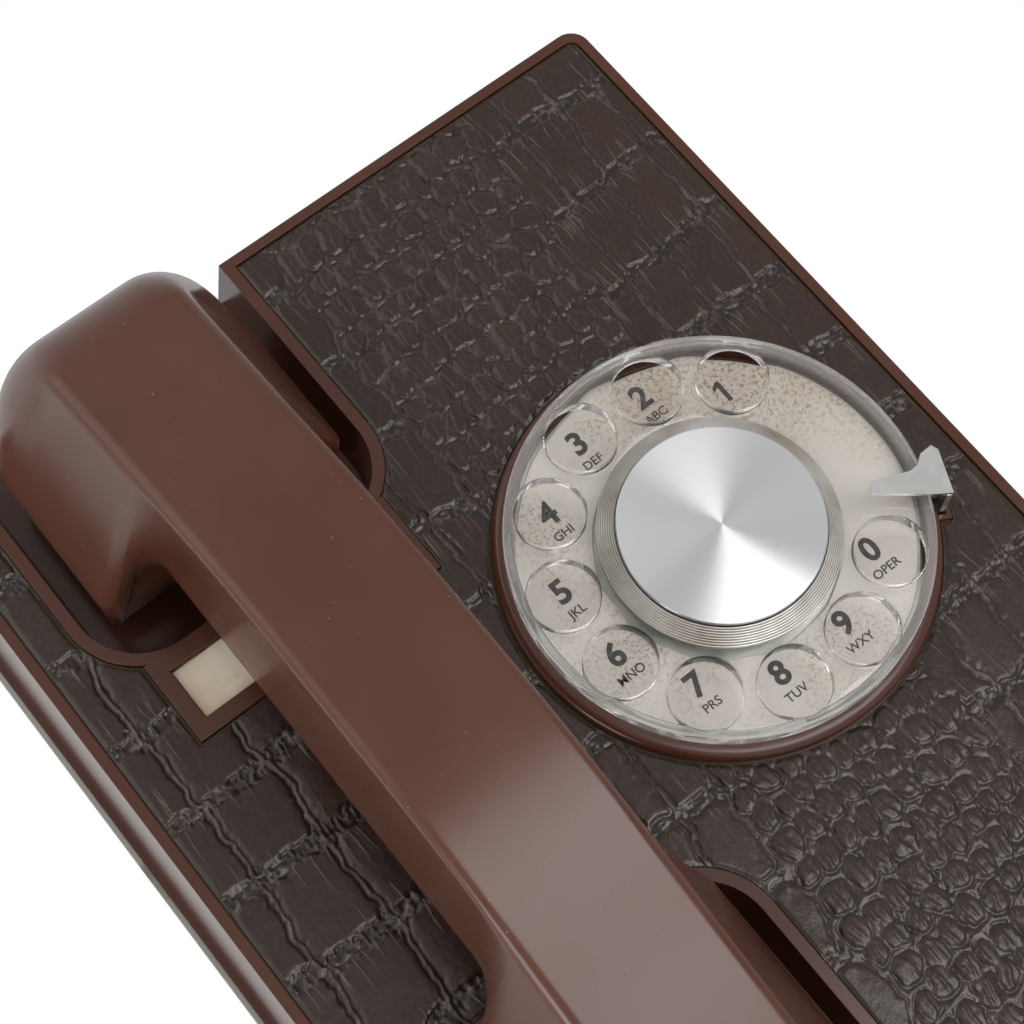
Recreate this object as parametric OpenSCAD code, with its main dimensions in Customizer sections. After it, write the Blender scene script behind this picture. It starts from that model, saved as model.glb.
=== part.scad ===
// Slimline wall telephone with a rotary dial and a handset lying in two recesses.
// Everything is drawn lying on its back, x to the right, y up the phone and z out of the wall,
// and stand() then puts it up: the wall is the plane y = 0 and the face looks along -y.
// All lengths are in millimetres and all angles in degrees.

/* [Housing] */
// Width of the face
face_w = 157.7; // [150:0.1:175]
// Height of the face
face_h = 206.3; // [202:0.1:230]
// Height of the face above the wall
body_d = 34; // [32:0.5:42]
// Thickness of the moulded walls
wall_t = 2.4; // [1.8:0.1:3]
// Thickness of the face under the leather
skin_t = 1.4; // [1.2:0.1:2.4]
// Lean of each side from the face out to the ledge
side_lean = 1.4; // [0.5:0.1:4]
// Radius of the face's corners
corner_r = 4; // [3:0.5:8]
// Width of the ledge round the back edge
ledge_w = 1.4; // [0.8:0.1:3]
// Height of the ledge
ledge_h = 2.8; // [2:0.1:5]
// Width of the bare rim round the leather
rim_w = 2; // [1.5:0.1:4]

/* [Leather] */
// Thickness of the leather panel
leather_t = 0.9; // [0.6:0.1:1.5]
// How far the leather lies below the rim
leather_drop = 0.3; // [0.1:0.1:0.6]
// Gap between the leather's edge and the rim
leather_gap = 0.2; // [0.1:0.05:0.5]

/* [Recesses for the handset] */
// Middle of the recesses, across the face
cradle_x = -37; // [-40:0.5:-34]
// Width of each recess at the face
recess_w = 60.6; // [58:0.1:64]
// Lower edge of the ear recess
ear_edge = 47.5; // [44:0.5:50]
// Upper edge of the mouth recess
mouth_edge = -38.2; // [-40:0.2:-36]
// Radius of the recesses' inner corners
recess_r = 13; // [8:0.5:18]
// Height of the recesses' floors above the wall
recess_floor = 19; // [17:0.5:24]
// Lean of the recesses' walls from the face to the floor
recess_lean = 1.5; // [0.5:0.1:3]
// Width of the rim round the recesses
recess_rim = 2.3; // [1.5:0.1:3]

/* [Number card] */
// Width of the card
card_w = 45; // [36:0.5:48]
// Height of the card
card_h = 10; // [8:0.5:11]
// Middle of the card, up the phone
card_y = 38.8; // [38:0.1:40]
// Width of the frame round the card
card_frame = 3.4; // [2:0.1:3.6]
// Thickness of the card
card_t = 0.3; // [0.2:0.1:0.5]
// Thickness of the clear window over the card
window_t = 1; // [0.8:0.1:1.4]

/* [Back plate] */
// Thickness of the steel back plate
plate_t = 1.2; // [1:0.1:2]
// How far the plate shows past the ledge
plate_lip = 0.9; // [0:0.1:2]
// Distance between the two wall screws
wall_screw_pitch = 83.3; // [80:0.1:90]
// Radius of the wall screw holes
wall_screw_r = 2.75; // [2:0.05:3]
// Radius of the hole where the line comes in
line_hole_r = 9; // [7:0.5:10]
// Place of the line hole, across and up
line_hole_at = [-37, -2];

/* [Dial] */
// Middle of the dial, across the face
dial_x = 30; // [28:0.5:32]
// Middle of the dial, up the face
dial_y = 3.5; // [0:0.5:6]
// Radius of the finger wheel
wheel_r = 38.1; // [37:0.1:39]
// Height of the wheel's upper face over the housing's face
wheel_rise = 6; // [5:0.1:8]
// Thickness of the finger wheel
wheel_t = 3; // [2:0.1:3.2]
// Number of finger holes
hole_n = 10; // [10:1:10]
// Radius of a finger hole
hole_r = 6.5; // [6:0.1:6.8]
// Radius of the circle that the finger holes lie on
hole_ring_r = 30; // [29.5:0.1:30.5]
// Angle of the first finger hole
hole_first = 45; // [40:1:50]
// Angle between finger holes
hole_step = 30; // [29:0.5:30]
// Radius of the raised hub
hub_r = 21.5; // [20:0.1:22]
// Height of the hub over the wheel
hub_rise = 2.6; // [1.5:0.1:3]
// Radius of the metal disc on the hub
disc_r = 18.6; // [17:0.1:19]
// Thickness of the metal disc
disc_t = 0.8; // [0.5:0.1:1]
// Outer radius of the number plate
number_plate_r = 35.6; // [35:0.1:35.8]
// Inner radius of the number plate
number_plate_hole = 22.6; // [22:0.1:23]
// Thickness of the number plate
number_plate_t = 0.6; // [0.4:0.1:0.8]
// Gap between the number plate's edge and the opening round it
number_plate_gap = 1.3; // [0.8:0.1:1.3]
// Running gap between number plate and wheel
wheel_gap = 2.4; // [1:0.1:2.6]
// Outer radius of the brown bezel
bezel_r = 40.2; // [40:0.1:42]
// Height of the bezel over the face
bezel_rise = 1.7; // [1:0.1:1.8]
// Angle of the finger stop
stop_angle = -28.5; // [-30:0.5:-27]
// Thickness of the finger stop's metal
stop_t = 1; // [0.8:0.1:1.2]

/* [Dial mechanism] */
// Radius of the dial shaft
shaft_r = 3; // [2.5:0.1:3.5]
// Radial clearance of every running fit
run_gap = 0.05; // [0.03:0.01:0.08]
// Teeth on the main gear
gear_n = 48; // [48:12:48]
// Teeth on the governor pinion
pinion_n = 12; // [12:1:12]
// Gear module
gear_m = 0.75; // [0.7:0.01:0.78]
// Thickness of the main gear
gear_t = 1.6; // [1.2:0.1:2]
// Radius of the governor shaft
gov_shaft_r = 1.5; // [1.2:0.1:1.8]
// Angle of the governor, seen from the front
gov_angle = 75; // [60:5:90]
// Outer radius of the governor cup
gov_cup_r = 11.5; // [10.5:0.1:11.5]

/* [Handset] */
// Length of the handset
hs_l = 190; // [184:0.5:194]
// Middle of the handset, up the phone
hs_y = 5.5; // [4.5:0.1:6.5]
// Height of the back's flat over the housing's face
hs_crown = 52.5; // [48:0.5:56]
// Half length of that flat, to the middle of the bends at its ends
hs_flat = 24.5; // [20:0.5:30]
// Length of each bend
hs_bend = 24; // [12:1:30]
// Fall of the back towards each end, per millimetre
hs_slope = 0.224; // [0.15:0.005:0.26]
// Width of the flat back
hs_back_w = 26.8; // [24:0.2:30]
// Width of the handle at the seam
hs_grip_w = 28.8; // [27:0.2:32]
// Width of the ear and mouth cups at the seam
hs_cup_w = 51.6; // [49:0.2:54]
// Radius of the cups' end corners
hs_end_r = 13; // [10:0.5:16]
// How far each end leans in from the seam to the back
hs_end_lean = 12; // [8:0.5:16]
// How far each end swells out between seam and back
hs_end_swell = 4.4; // [0:0.2:5]
// Height of the seam over the face, at the cups
seam_cup = 4.5; // [3:0.1:6]
// Height of the seam over the face, at the handle
seam_grip = 17; // [15:0.5:19]
// Thickness of the handset's walls
hs_wall = 2.2; // [1.6:0.1:2.6]
// Depth of the handle below the seam
grip_belly = 5; // [4:0.5:6]
// Height of the ear cap and mouth cap
cap_h = 5.5; // [4:0.5:7]
// Radius of the ear cap
ear_cap_r = 20.5; // [19:0.5:21]
// Radius of the mouth cap
mouth_cap_r = 20.5; // [18:0.5:22]

/* [Hook switch] */
// Radius of the hook plunger
plunger_r = 5; // [4:0.1:6]
// Travel of the hook plunger
hook_travel = 4; // [3:0.5:5]

/* [Ringer] */
// Radius of each gong, as a share of the room beside the handset's recess
gong_share = 0.198; // [0.17:0.002:0.2]
// Distance between the gongs' middles, as a share of that room
pitch_share = 0.508; // [0.5:0.002:0.53]
// Radius of the clapper ball
clapper_r = 2.4; // [2:0.1:2.6]

/* [Hidden] */

$fn = 96;
eps = 0.01;
far = 400;
seat_gap = 0.3;

brown = "#4f281c";
brown_dark = "#3c1e15";
steel = "#9a9c94";
passivated = "#8c8a5a";
bright = "#d6d8da";
brass = "#b08d4a";
copper = "#a8582c";
black = "#1d1c1b";

leather_pocket = leather_t + leather_drop;
face_t = skin_t + leather_pocket;
face_under = body_d - face_t;
ledge_top = plate_t + ledge_h;
lean_rate = side_lean / (body_d - ledge_top);
ledge_w_all = side_lean + ledge_w;
plate_grow = ledge_w_all + plate_lip;
leather_floor = body_d - leather_pocket;

// ---------- Shared shapes ----------

// Stands a piece that was drawn lying on its back up against the wall
module stand() {
    rotate([90, 0, 0]) children();
}

// Rounded rectangle about the origin
module rounded(w, h, r) {
    square([w - 2 * r, h], center = true);
    square([w, h - 2 * r], center = true);
    for (sx = [-1, 1], sy = [-1, 1])
        translate([sx * (w / 2 - r), sy * (h / 2 - r)]) circle(r);
}

// Block whose sides lean: w, h and r are its upper face's, and lean is how far each
// side lies further out at the lower face
module leaning_block(w, h, r, z0, z1, lean) {
    x = w / 2;
    y = h / 2;
    rotate([90, 0, 0])
        linear_extrude(h - 2 * r, center = true)
            polygon([[-x - lean, z0], [x + lean, z0], [x, z1], [-x, z1]]);
    rotate([90, 0, 90])
        linear_extrude(w - 2 * r, center = true)
            polygon([[-y - lean, z0], [y + lean, z0], [y, z1], [-y, z1]]);
    for (sx = [-1, 1], sy = [-1, 1])
        translate([sx * (x - r), sy * (y - r), z0])
            cylinder(z1 - z0, r + lean, r);
}

// Straight pin or hole between two heights
module pin(r, z0, z1) {
    translate([0, 0, z0]) cylinder(z1 - z0, r, r);
}

// Ring between two radii and two heights
module ring(r0, r1, z0, z1) {
    translate([0, 0, z0])
        linear_extrude(z1 - z0)
            difference() {
                circle(r1);
                circle(r0);
            }
}

module at_dial() {
    translate([dial_x, dial_y, 0]) children();
}

// ---------- Housing ----------

ear_len = face_h / 2 + 30 - ear_edge;
mouth_len = face_h / 2 + 30 + mouth_edge;

// Outline of both recesses, grown by a rim or wall
module recess_outlines(grow) {
    translate([cradle_x, ear_edge + ear_len / 2])
        rounded(recess_w + 2 * grow, ear_len + 2 * grow, recess_r + grow);
    translate([cradle_x, mouth_edge - mouth_len / 2])
        rounded(recess_w + 2 * grow, mouth_len + 2 * grow, recess_r + grow);
}

// Both recesses as solids, grown by a wall, down to z0
module recess_blocks(grow, z0, z1) {
    for (e = [[ear_edge + ear_len / 2, ear_len], [mouth_edge - mouth_len / 2, mouth_len]])
        translate([cradle_x, e[0], 0])
            leaning_block(recess_w + 2 * grow, e[1] + 2 * grow, recess_r + grow, z0, z1,
                          -recess_lean);
}

card_frame_bottom = card_y - card_h / 2 - card_frame;
card_frame_w = card_w + 2 * card_frame;

// Frame for the card, joined to the ear recess's rim
module card_frame_outline(grow) {
    translate([cradle_x - card_frame_w / 2 - grow, card_frame_bottom - grow])
        square([card_frame_w + 2 * grow, ear_edge - card_frame_bottom + 2 * grow]);
}

stop_slot_in = bezel_r - 1.2;
stop_slot_out = bezel_r + 1.4;
stop_slot_w = 3.2;
stop_tab_wall = 1;

// Place of the finger stop's slot: its outline grows by a wall
module stop_slot_outline(grow) {
    rotate(stop_angle)
        translate([stop_slot_in - grow, -stop_slot_w / 2 - grow])
            square([stop_slot_out - stop_slot_in + 2 * grow, stop_slot_w + 2 * grow]);
}

// Leather inlay: the face less its rims, the card frame and the dial
module leather_outline(gap) {
    difference() {
        rounded(face_w - 2 * rim_w - 2 * gap, face_h - 2 * rim_w - 2 * gap,
                max(corner_r - rim_w, 1));
        recess_outlines(recess_rim + gap);
        card_frame_outline(gap);
        translate([dial_x, dial_y]) circle(bezel_r + gap);
        translate([dial_x, dial_y]) stop_slot_outline(stop_tab_wall + gap);
    }
}

opening_r = number_plate_r + number_plate_gap;
flange_r = opening_r + 7.4;
screw_ring_r = flange_r - 2.8;
jack_x = 8;
jack_z = 12;
jack_w = 12;
jack_t = 10;
jack_deep = 14;
jack_port_w = 7.8;
jack_port_t = 6.6;
card_pocket_gap = 0.3;
boss_w = 12;
screw_x = face_w * 0.36;
screw_z = 9;

module outer_form() {
    leaning_block(face_w, face_h, corner_r, ledge_top, body_d, side_lean);
    translate([0, 0, plate_t])
        linear_extrude(ledge_h)
            rounded(face_w + 2 * ledge_w_all, face_h + 2 * ledge_w_all, corner_r + ledge_w_all);
}

module inner_form() {
    top_w = face_w - 2 * wall_t + 2 * lean_rate * face_t;
    top_h = face_h - 2 * wall_t + 2 * lean_rate * face_t;
    leaning_block(top_w, top_h, max(corner_r - wall_t, 1), plate_t - 1, face_under,
                  lean_rate * (face_under - plate_t + 1));
}

module housing() {
    color(brown)
        stand()
            difference() {
                union() {
                    difference() {
                        outer_form();
                        inner_form();
                    }
                    intersection() {
                        outer_form();
                        recess_blocks(wall_t, recess_floor - wall_t, body_d);
                    }
                    for (s = [-1, 1])
                        translate([s * screw_x - boss_w / 2, -face_h / 2, plate_t + 3])
                            cube([boss_w, wall_t + 2.5, screw_z + 1]);
                }
                recess_blocks(0, recess_floor, body_d + eps);
                translate([0, 0, leather_floor])
                    linear_extrude(leather_pocket + 1) leather_outline(0);
                at_dial() pin(opening_r, face_under - 1, body_d + 1);
                at_dial()
                    translate([0, 0, leather_floor])
                        linear_extrude(leather_pocket + 1) {
                            circle(bezel_r);
                            stop_slot_outline(stop_tab_wall);
                        }
                at_dial()
                    translate([0, 0, face_under - 1])
                        linear_extrude(face_t) stop_slot_outline(0);
                translate([cradle_x, card_y, body_d - card_t - window_t - 0.2])
                    linear_extrude(face_t)
                        square([card_w + 2 * card_pocket_gap, card_h + 2 * card_pocket_gap],
                               center = true);
                translate([cradle_x, hs_y + ear_centre, 0])
                    pin(plunger_r + run_gap, recess_floor - wall_t - 1, recess_floor + 1);
                translate([jack_x - jack_w / 2, -face_h / 2 - 5, jack_z - jack_t / 2])
                    cube([jack_w, 10, jack_t]);
                for (s = [-1, 1])
                    translate([s * screw_x, -face_h / 2 + 10, screw_z])
                        rotate([90, 0, 0]) cylinder(20, 1.8, 1.8);
                at_dial() dial_screw_places() pin(1.3, face_under - 1, leather_floor - 0.4);
            }
}

module leather_panel() {
    color("#2c2320")
        stand()
            translate([0, 0, leather_floor])
                linear_extrude(leather_t) leather_outline(leather_gap);
}

module number_card() {
    color("#e6dcc0")
        stand()
            translate([cradle_x, card_y, body_d - card_t - window_t - 0.2])
                linear_extrude(card_t) square([card_w, card_h], center = true);
}

module card_window() {
    color("#dfe3e0", 0.35)
        stand()
            translate([cradle_x, card_y, body_d - window_t - 0.2])
                linear_extrude(window_t) square([card_w, card_h], center = true);
}

lug_t = 1.2;
lug_y = -face_h / 2 + wall_t + 2.5 + seat_gap;

// Steel plate on the wall, with two lugs that the housing's screws enter
module base_plate() {
    color(steel)
        stand() {
            difference() {
                linear_extrude(plate_t)
                    rounded(face_w + 2 * plate_grow, face_h + 2 * plate_grow,
                            corner_r + plate_grow);
                for (s = [-1, 1])
                    translate([0, s * wall_screw_pitch / 2, 0])
                        pin(wall_screw_r, -1, plate_t + 1);
                translate([line_hole_at[0], line_hole_at[1], 0])
                    pin(line_hole_r, -1, plate_t + 1);
            }
            for (s = [-1, 1])
                difference() {
                    translate([s * screw_x - boss_w / 2, lug_y, plate_t])
                        cube([boss_w, lug_t, screw_z + 3]);
                    translate([s * screw_x, lug_y + 5, screw_z])
                        rotate([90, 0, 0]) cylinder(10, 1.5, 1.5);
                }
        }
}

module housing_screws() {
    head = 1.6;
    out = face_h / 2 + ledge_w_all;
    color(steel)
        stand()
            for (s = [-1, 1])
                translate([s * screw_x, 0, screw_z])
                    rotate([90, 0, 0])
                        union() {
                            pin(1.45, -lug_y - lug_t - 2, face_h / 2 + side_lean);
                            difference() {
                                pin(3, face_h / 2 + side_lean, out + head - ledge_w);
                                translate([-4, -0.4, out + head - ledge_w - 0.7])
                                    cube([8, 0.8, 2]);
                            }
                        }
}

// Block with a modular opening, its mouth toward -y
module jack_block(w, t, deep) {
    difference() {
        translate([-w / 2, 0, -t / 2]) cube([w, deep, t]);
        translate([-jack_port_w / 2, -1, -jack_port_t / 2])
            cube([jack_port_w, deep - 2, jack_port_t]);
        translate([-1.6, -1, jack_port_t / 2 - eps]) cube([3.2, deep - 5, 0.9]);
    }
}

// Jack in the bottom wall where the handset's cord would plug in
module line_jack() {
    color(black)
        stand()
            translate([jack_x, -face_h / 2, jack_z])
                jack_block(jack_w - 0.1, jack_t - 0.1, jack_deep);
}

// ---------- Dial ----------

wheel_top = body_d + wheel_rise;
wheel_low = wheel_top - wheel_t;
plate_top = wheel_low - wheel_gap;
plate_low = plate_top - number_plate_t;
deck_t = 1.2;
deck_low = plate_low - deck_t;
deck_r = opening_r - 0.8;
flange_top = face_under;
flange_low = flange_top - 1.6;
hub_top = wheel_top + hub_rise;
disc_low = hub_top - 0.15;
disc_top = disc_low + disc_t;
nut_low = disc_low - 1.4;
hub_under = nut_low - 1.6;
bridge_t = 1.5;
bridge_low = 17;
bridge_top = bridge_low + bridge_t;
gear_low = 24;
gov_r = gear_m * (gear_n + pinion_n) / 2;
post_r = 2.6;
post_ring_r = 30.5;
post_angles = [gov_angle + 90, gov_angle + 210, gov_angle - 48];
leg_in = bezel_r;
leg_out = leg_in + stop_t;
leg_w = 2.6;
leg_low = flange_low - 0.8;
// Outline of the finger stop's blade: along its radius, then across it
blade = [[27, 1], [27.1, 3.2], [29.7, 3.4], [34.6, 4], [36.2, 4.9], [37.2, 6.9], [39.4, 8.2],
         [40.5, 7.2], [leg_out, -leg_w / 2], [leg_in - 2, -leg_w / 2 + 0.2]];

module dial_screw_places() {
    for (a = [45:90:315])
        rotate(a) translate([screw_ring_r, 0, 0]) children();
}

module post_places() {
    for (a = post_angles)
        rotate(a) translate([post_ring_r, 0, 0]) children();
}

module at_governor() {
    at_dial() rotate(gov_angle) translate([gov_r, 0, 0]) children();
}

bezel_round = 2;
bezel_foot = body_d + 0.4;
// Half section of the bezel: a straight foot, then a quarter ellipse up to its flat top
bezel_profile = concat(
    [[0, leather_floor], [bezel_r - 0.1, leather_floor]],
    [for (a = [0:15:90])
        [bezel_r - 0.1 - bezel_round * (1 - cos(a)),
         bezel_foot + (body_d + bezel_rise - bezel_foot) * sin(a)]],
    [[0, body_d + bezel_rise]]);

// Brown ring in the leather's cut-out, with the tab that the finger stop comes out of
module dial_bezel() {
    color(brown)
        stand()
            at_dial()
                difference() {
                    union() {
                        rotate_extrude() polygon(bezel_profile);
                        translate([0, 0, leather_floor])
                            linear_extrude(leather_pocket + 0.3)
                                stop_slot_outline(stop_tab_wall - 0.1);
                    }
                    pin(opening_r + 0.4, leather_floor - 1, body_d + 5);
                    translate([0, 0, leather_floor - 1])
                        linear_extrude(face_t + 5) stop_slot_outline(0);
                }
}

module number_plate() {
    color("#b9b5a6")
        stand()
            at_dial() ring(number_plate_hole, number_plate_r, plate_low, plate_top);
}

// Pan behind the number plate that carries the whole mechanism
module dial_frame() {
    color(passivated)
        stand()
            difference() {
                union() {
                    at_dial() pin(deck_r, deck_low, plate_low);
                    at_dial() ring(deck_r - 1.3, deck_r, flange_low, plate_low);
                    at_dial() ring(deck_r - 1.3, flange_r, flange_low, flange_top);
                    at_dial() pin(shaft_r + 2.5, deck_low - 3, wheel_low - 0.6);
                    at_dial() post_places() pin(post_r, bridge_top, deck_low);
                }
                at_dial() pin(shaft_r + run_gap, deck_low - 5, wheel_low);
                at_governor() pin(gov_shaft_r + run_gap, deck_low - 1, plate_low + 1);
                at_dial() dial_screw_places() pin(1.3, flange_low - 1, flange_top + 1);
                at_dial() post_places() pin(1.25, bridge_top - 1, bridge_top + 5);
                at_dial()
                    rotate(stop_angle)
                        translate([leg_in - 0.05, -leg_w / 2 - 0.05, flange_low - 1])
                            cube([leg_out - leg_in + 0.1, leg_w + 0.1, 4]);
            }
}

module dial_screws() {
    color(steel)
        stand()
            at_dial() {
                dial_screw_places() {
                    pin(1.25, flange_low - 1, leather_floor - 0.6);
                    pin(2.4, flange_low - 1.6, flange_low);
                }
                post_places() {
                    pin(1.2, bridge_low - 1, bridge_top + 4.5);
                    pin(2.4, bridge_low - 1.6, bridge_low);
                }
            }
}

module finger_stop() {
    color(bright)
        stand()
            at_dial()
                rotate(stop_angle) {
                    translate([0, 0, hub_top]) linear_extrude(stop_t) polygon(blade);
                    translate([leg_in, -leg_w / 2, leg_low])
                        cube([leg_out - leg_in, leg_w, hub_top - leg_low + eps]);
                }
}

spring_turns = 3.5;
spring_in = shaft_r + 3.5;
spring_pitch = 2.2;
spring_strip = 0.5;

function spiral(r, turns, steps) =
    [for (i = [0:steps]) let (a = i * 360 * turns / steps)
        (r + spring_pitch * a / 360) * [cos(a), sin(a)]];

function backwards(v) = [for (i = [len(v) - 1:-1:0]) v[i]];

// Flat spiral that brings the dial back, its outer end hooked on the deck
module main_spring() {
    steps = 84;
    out = spring_in + spring_pitch * spring_turns;
    color("#6f7478")
        stand()
            at_dial() {
                translate([0, 0, deck_low - 5])
                    linear_extrude(3.6)
                        polygon(concat(spiral(spring_in, spring_turns, steps),
                                       backwards(spiral(spring_in + spring_strip, spring_turns,
                                                        steps))));
                rotate(spring_turns * 360)
                    translate([out, -1.2, deck_low - 5]) cube([1.4, 2.4, 5]);
            }
}

module governor_cup() {
    color(passivated)
        stand() at_governor() ring(gov_cup_r - 1.2, gov_cup_r, bridge_low - 8, bridge_low);
}

// Plate at the back of the mechanism, with the rear bearings
module rear_bridge() {
    color(passivated)
        stand()
            at_dial() {
                translate([0, 0, bridge_low])
                    linear_extrude(bridge_t)
                        difference() {
                            union() {
                                circle(13);
                                rotate(gov_angle) translate([gov_r, 0]) circle(gov_cup_r);
                                for (a = post_angles)
                                    rotate(a) {
                                        translate([0, -3]) square([post_ring_r, 6]);
                                        translate([post_ring_r, 0]) circle(4);
                                    }
                            }
                            circle(shaft_r + run_gap);
                            rotate(gov_angle)
                                translate([gov_r, 0]) circle(gov_shaft_r + run_gap);
                            for (a = post_angles)
                                rotate(a) translate([post_ring_r, 0]) circle(1.25);
                        }
                ring(shaft_r + run_gap, shaft_r + 2, bridge_low - 2.5, bridge_low);
            }
}

cam_low = bridge_top + 0.8;
cam_t = 2;
cam_r = 11;

// Two leaves on an insulating block that the cam opens and closes
module pulse_contacts() {
    color("#7a3b22")
        stand()
            at_dial()
                rotate(post_angles[1]) {
                    translate([cam_r + 5, -3.5, bridge_top]) cube([8, 7, gear_low - bridge_top - 0.9]);
                    for (z = [cam_low, cam_low + 1.6])
                        translate([cam_r + 0.4, -1.5, z]) cube([6, 3, 0.4]);
                }
}

module finger_wheel() {
    color("#e9ebe6", 0.4)
        stand()
            at_dial()
                difference() {
                    union() {
                        pin(wheel_r, wheel_low, wheel_top);
                        ring(wheel_r - 1.6, wheel_r - 0.8, wheel_top - 1, wheel_top + 0.3);
                        pin(hub_r, wheel_low, hub_top);
                    }
                    difference() {
                        pin(hub_r - 1.6, wheel_low - 1, hub_under);
                        pin(shaft_r + 2.5, wheel_low - 2, hub_under + 1);
                    }
                    for (i = [0:hole_n - 1])
                        rotate(hole_first + i * hole_step)
                            translate([hole_ring_r, 0, 0])
                                pin(hole_r, wheel_low - 1, wheel_top + 1);
                    pin(shaft_r, wheel_low - 1, hub_top + 1);
                    pin(5.4, nut_low, hub_top + 1);
                    pin(disc_r + 0.05, disc_low, hub_top + 1);
                    ring(disc_r + 0.7, disc_r + 1.1, hub_top - 0.3, hub_top + 1);
                    ring(disc_r + 1.7, disc_r + 2.1, hub_top - 0.3, hub_top + 1);
                }
}

module center_disc() {
    color(bright) stand() at_dial() pin(disc_r, disc_low, disc_top);
}

module hub_nut() {
    color(steel)
        stand()
            at_dial()
                difference() {
                    translate([0, 0, nut_low]) cylinder(disc_low - nut_low, 5.2, 5.2, $fn = 6);
                    pin(shaft_r, nut_low - 1, disc_low + 1);
                }
}

module dial_shaft() {
    color(bright)
        stand()
            at_dial() {
                pin(shaft_r, bridge_low - 3.5, disc_low);
                pin(shaft_r + 1.5, bridge_top + cam_t + 0.8, gear_low);
            }
}

// Outline of a spur gear with straight-sided teeth, one tooth on the x axis
module gear_outline(n, m) {
    p = 360 / n;
    root = n * m / 2 - 1.15 * m;
    tip = n * m / 2 + 0.85 * m;
    polygon([for (i = [0:n - 1], q = [[-0.31, root], [-0.12, tip], [0.12, tip], [0.31, root]])
        q[1] * [cos((i + q[0]) * p), sin((i + q[0]) * p)]]);
}

module main_gear() {
    color(brass)
        stand()
            at_dial()
                difference() {
                    union() {
                        rotate(gov_angle)
                            translate([0, 0, gear_low])
                                linear_extrude(gear_t) gear_outline(gear_n, gear_m);
                        pin(shaft_r + 3, gear_low, gear_low + gear_t + 1.4);
                    }
                    pin(shaft_r, gear_low - 1, gear_low + gear_t + 2);
                    for (a = [0:72:288])
                        rotate(a + 20) translate([11, 0, 0])
                            pin(3, gear_low - 1, gear_low + gear_t + 1);
                }
}

module governor_shaft() {
    color(bright) stand() at_governor() pin(gov_shaft_r, bridge_low - 7.5, plate_low - 0.3);
}

module governor_pinion() {
    color(brass)
        stand()
            at_governor()
                translate([0, 0, gear_low - 0.6])
                    linear_extrude(gear_t + 1.2)
                        difference() {
                            rotate(180 + 180 / pinion_n) gear_outline(pinion_n, gear_m);
                            circle(gov_shaft_r);
                        }
}

// Two swinging weights on a hub, drawn at rest inside the cup
module governor_weights() {
    reach = gov_cup_r - 1.2 - 0.5;
    color(brass)
        stand()
            at_governor()
                translate([0, 0, bridge_low - 6.5])
                    linear_extrude(4.5)
                        difference() {
                            union() {
                                circle(gov_shaft_r + 1.8);
                                square([2 * reach - 3, 1.6], center = true);
                                intersection() {
                                    difference() {
                                        circle(reach);
                                        circle(reach - 3);
                                    }
                                    for (s = [-1, 1])
                                        translate([s * reach, 0])
                                            square([reach, 1.1 * reach], center = true);
                                }
                            }
                            circle(gov_shaft_r);
                        }
}

// Wheel with one lobe for each pulse
module pulse_cam() {
    color(black)
        stand()
            at_dial()
                translate([0, 0, cam_low])
                    linear_extrude(cam_t)
                        difference() {
                            union() {
                                circle(cam_r - 1.6);
                                for (i = [0:hole_n - 1])
                                    rotate(i * 36) translate([cam_r - 1.6, 0]) circle(1.5);
                            }
                            circle(shaft_r);
                        }
}

// ---------- Hook switch ----------

cap_centre_gap = 2.2;
ear_in = 52;
mouth_in = 48.3;
ear_centre = (hs_l / 2 + ear_in) / 2;
mouth_centre = -(hs_l / 2 + mouth_in - 3) / 2;
plunger_low = 8;
guide_r = 2;
hook_floor = plate_t;

module at_hook() {
    translate([cradle_x, hs_y + ear_centre, 0]) children();
}

// Button in the ear recess's floor that the handset presses in
module hook_plunger() {
    color("#e4e0d2")
        stand()
            at_hook()
                difference() {
                    union() {
                        pin(plunger_r, plunger_low, recess_floor - 0.8);
                        translate([0, 0, recess_floor - 0.8])
                            cylinder(0.8, plunger_r, plunger_r - 0.8);
                    }
                    pin(guide_r + run_gap, plunger_low - 1, recess_floor - 1.5);
                }
}

module plunger_clip() {
    color(steel) stand() at_hook() ring(plunger_r, plunger_r + 2.5, plunger_low, plunger_low + 1);
}

module hook_bracket() {
    color(passivated)
        stand()
            at_hook() {
                translate([-24, -9, hook_floor]) cube([36, 18, 1.2]);
                pin(guide_r, hook_floor, recess_floor - 4.5);
            }
}

module hook_contacts() {
    color("#7a3b22")
        stand()
            at_hook() {
                translate([-22, 1, hook_floor + 1.2]) cube([10, 8, 7]);
                for (z = [hook_floor + 2.6, hook_floor + 4.3, hook_floor + 6])
                    translate([-13, 3, z]) cube([15, 3.6, 0.4]);
            }
}

// ---------- Ringer ----------

ringer_room = face_w / 2 - cradle_x - recess_w / 2 - 2 * wall_t;
ringer_x = (face_w / 2 + cradle_x + recess_w / 2) / 2;
ringer_y = face_h / 2 - 28.15;
gong_r = ringer_room * gong_share;
gong_pitch = ringer_room * pitch_share;
gong_rim = 14;
gong_top = 23.6;
gong_wall = 1.1;
coil_r = 4.8;
coil_y = ringer_y + 10;
clapper_y = ringer_y - 15;
ringer_frame_w = gong_pitch + 31;
ringer_frame_h = coil_y - clapper_y + 13;
ringer_t = 1.2;

module gong_place(s) {
    translate([ringer_x + s * gong_pitch / 2, ringer_y, 0]) children();
}

module ringer_frame() {
    color(passivated)
        stand() {
            translate([ringer_x - ringer_frame_w / 2, clapper_y - 6, plate_t])
                cube([ringer_frame_w, ringer_frame_h, ringer_t]);
            for (s = [-1, 1])
                gong_place(s)
                    difference() {
                        pin(2.6, plate_t, gong_top - gong_wall);
                        pin(1.5, gong_top - 8, gong_top);
                    }
        }
}

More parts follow.
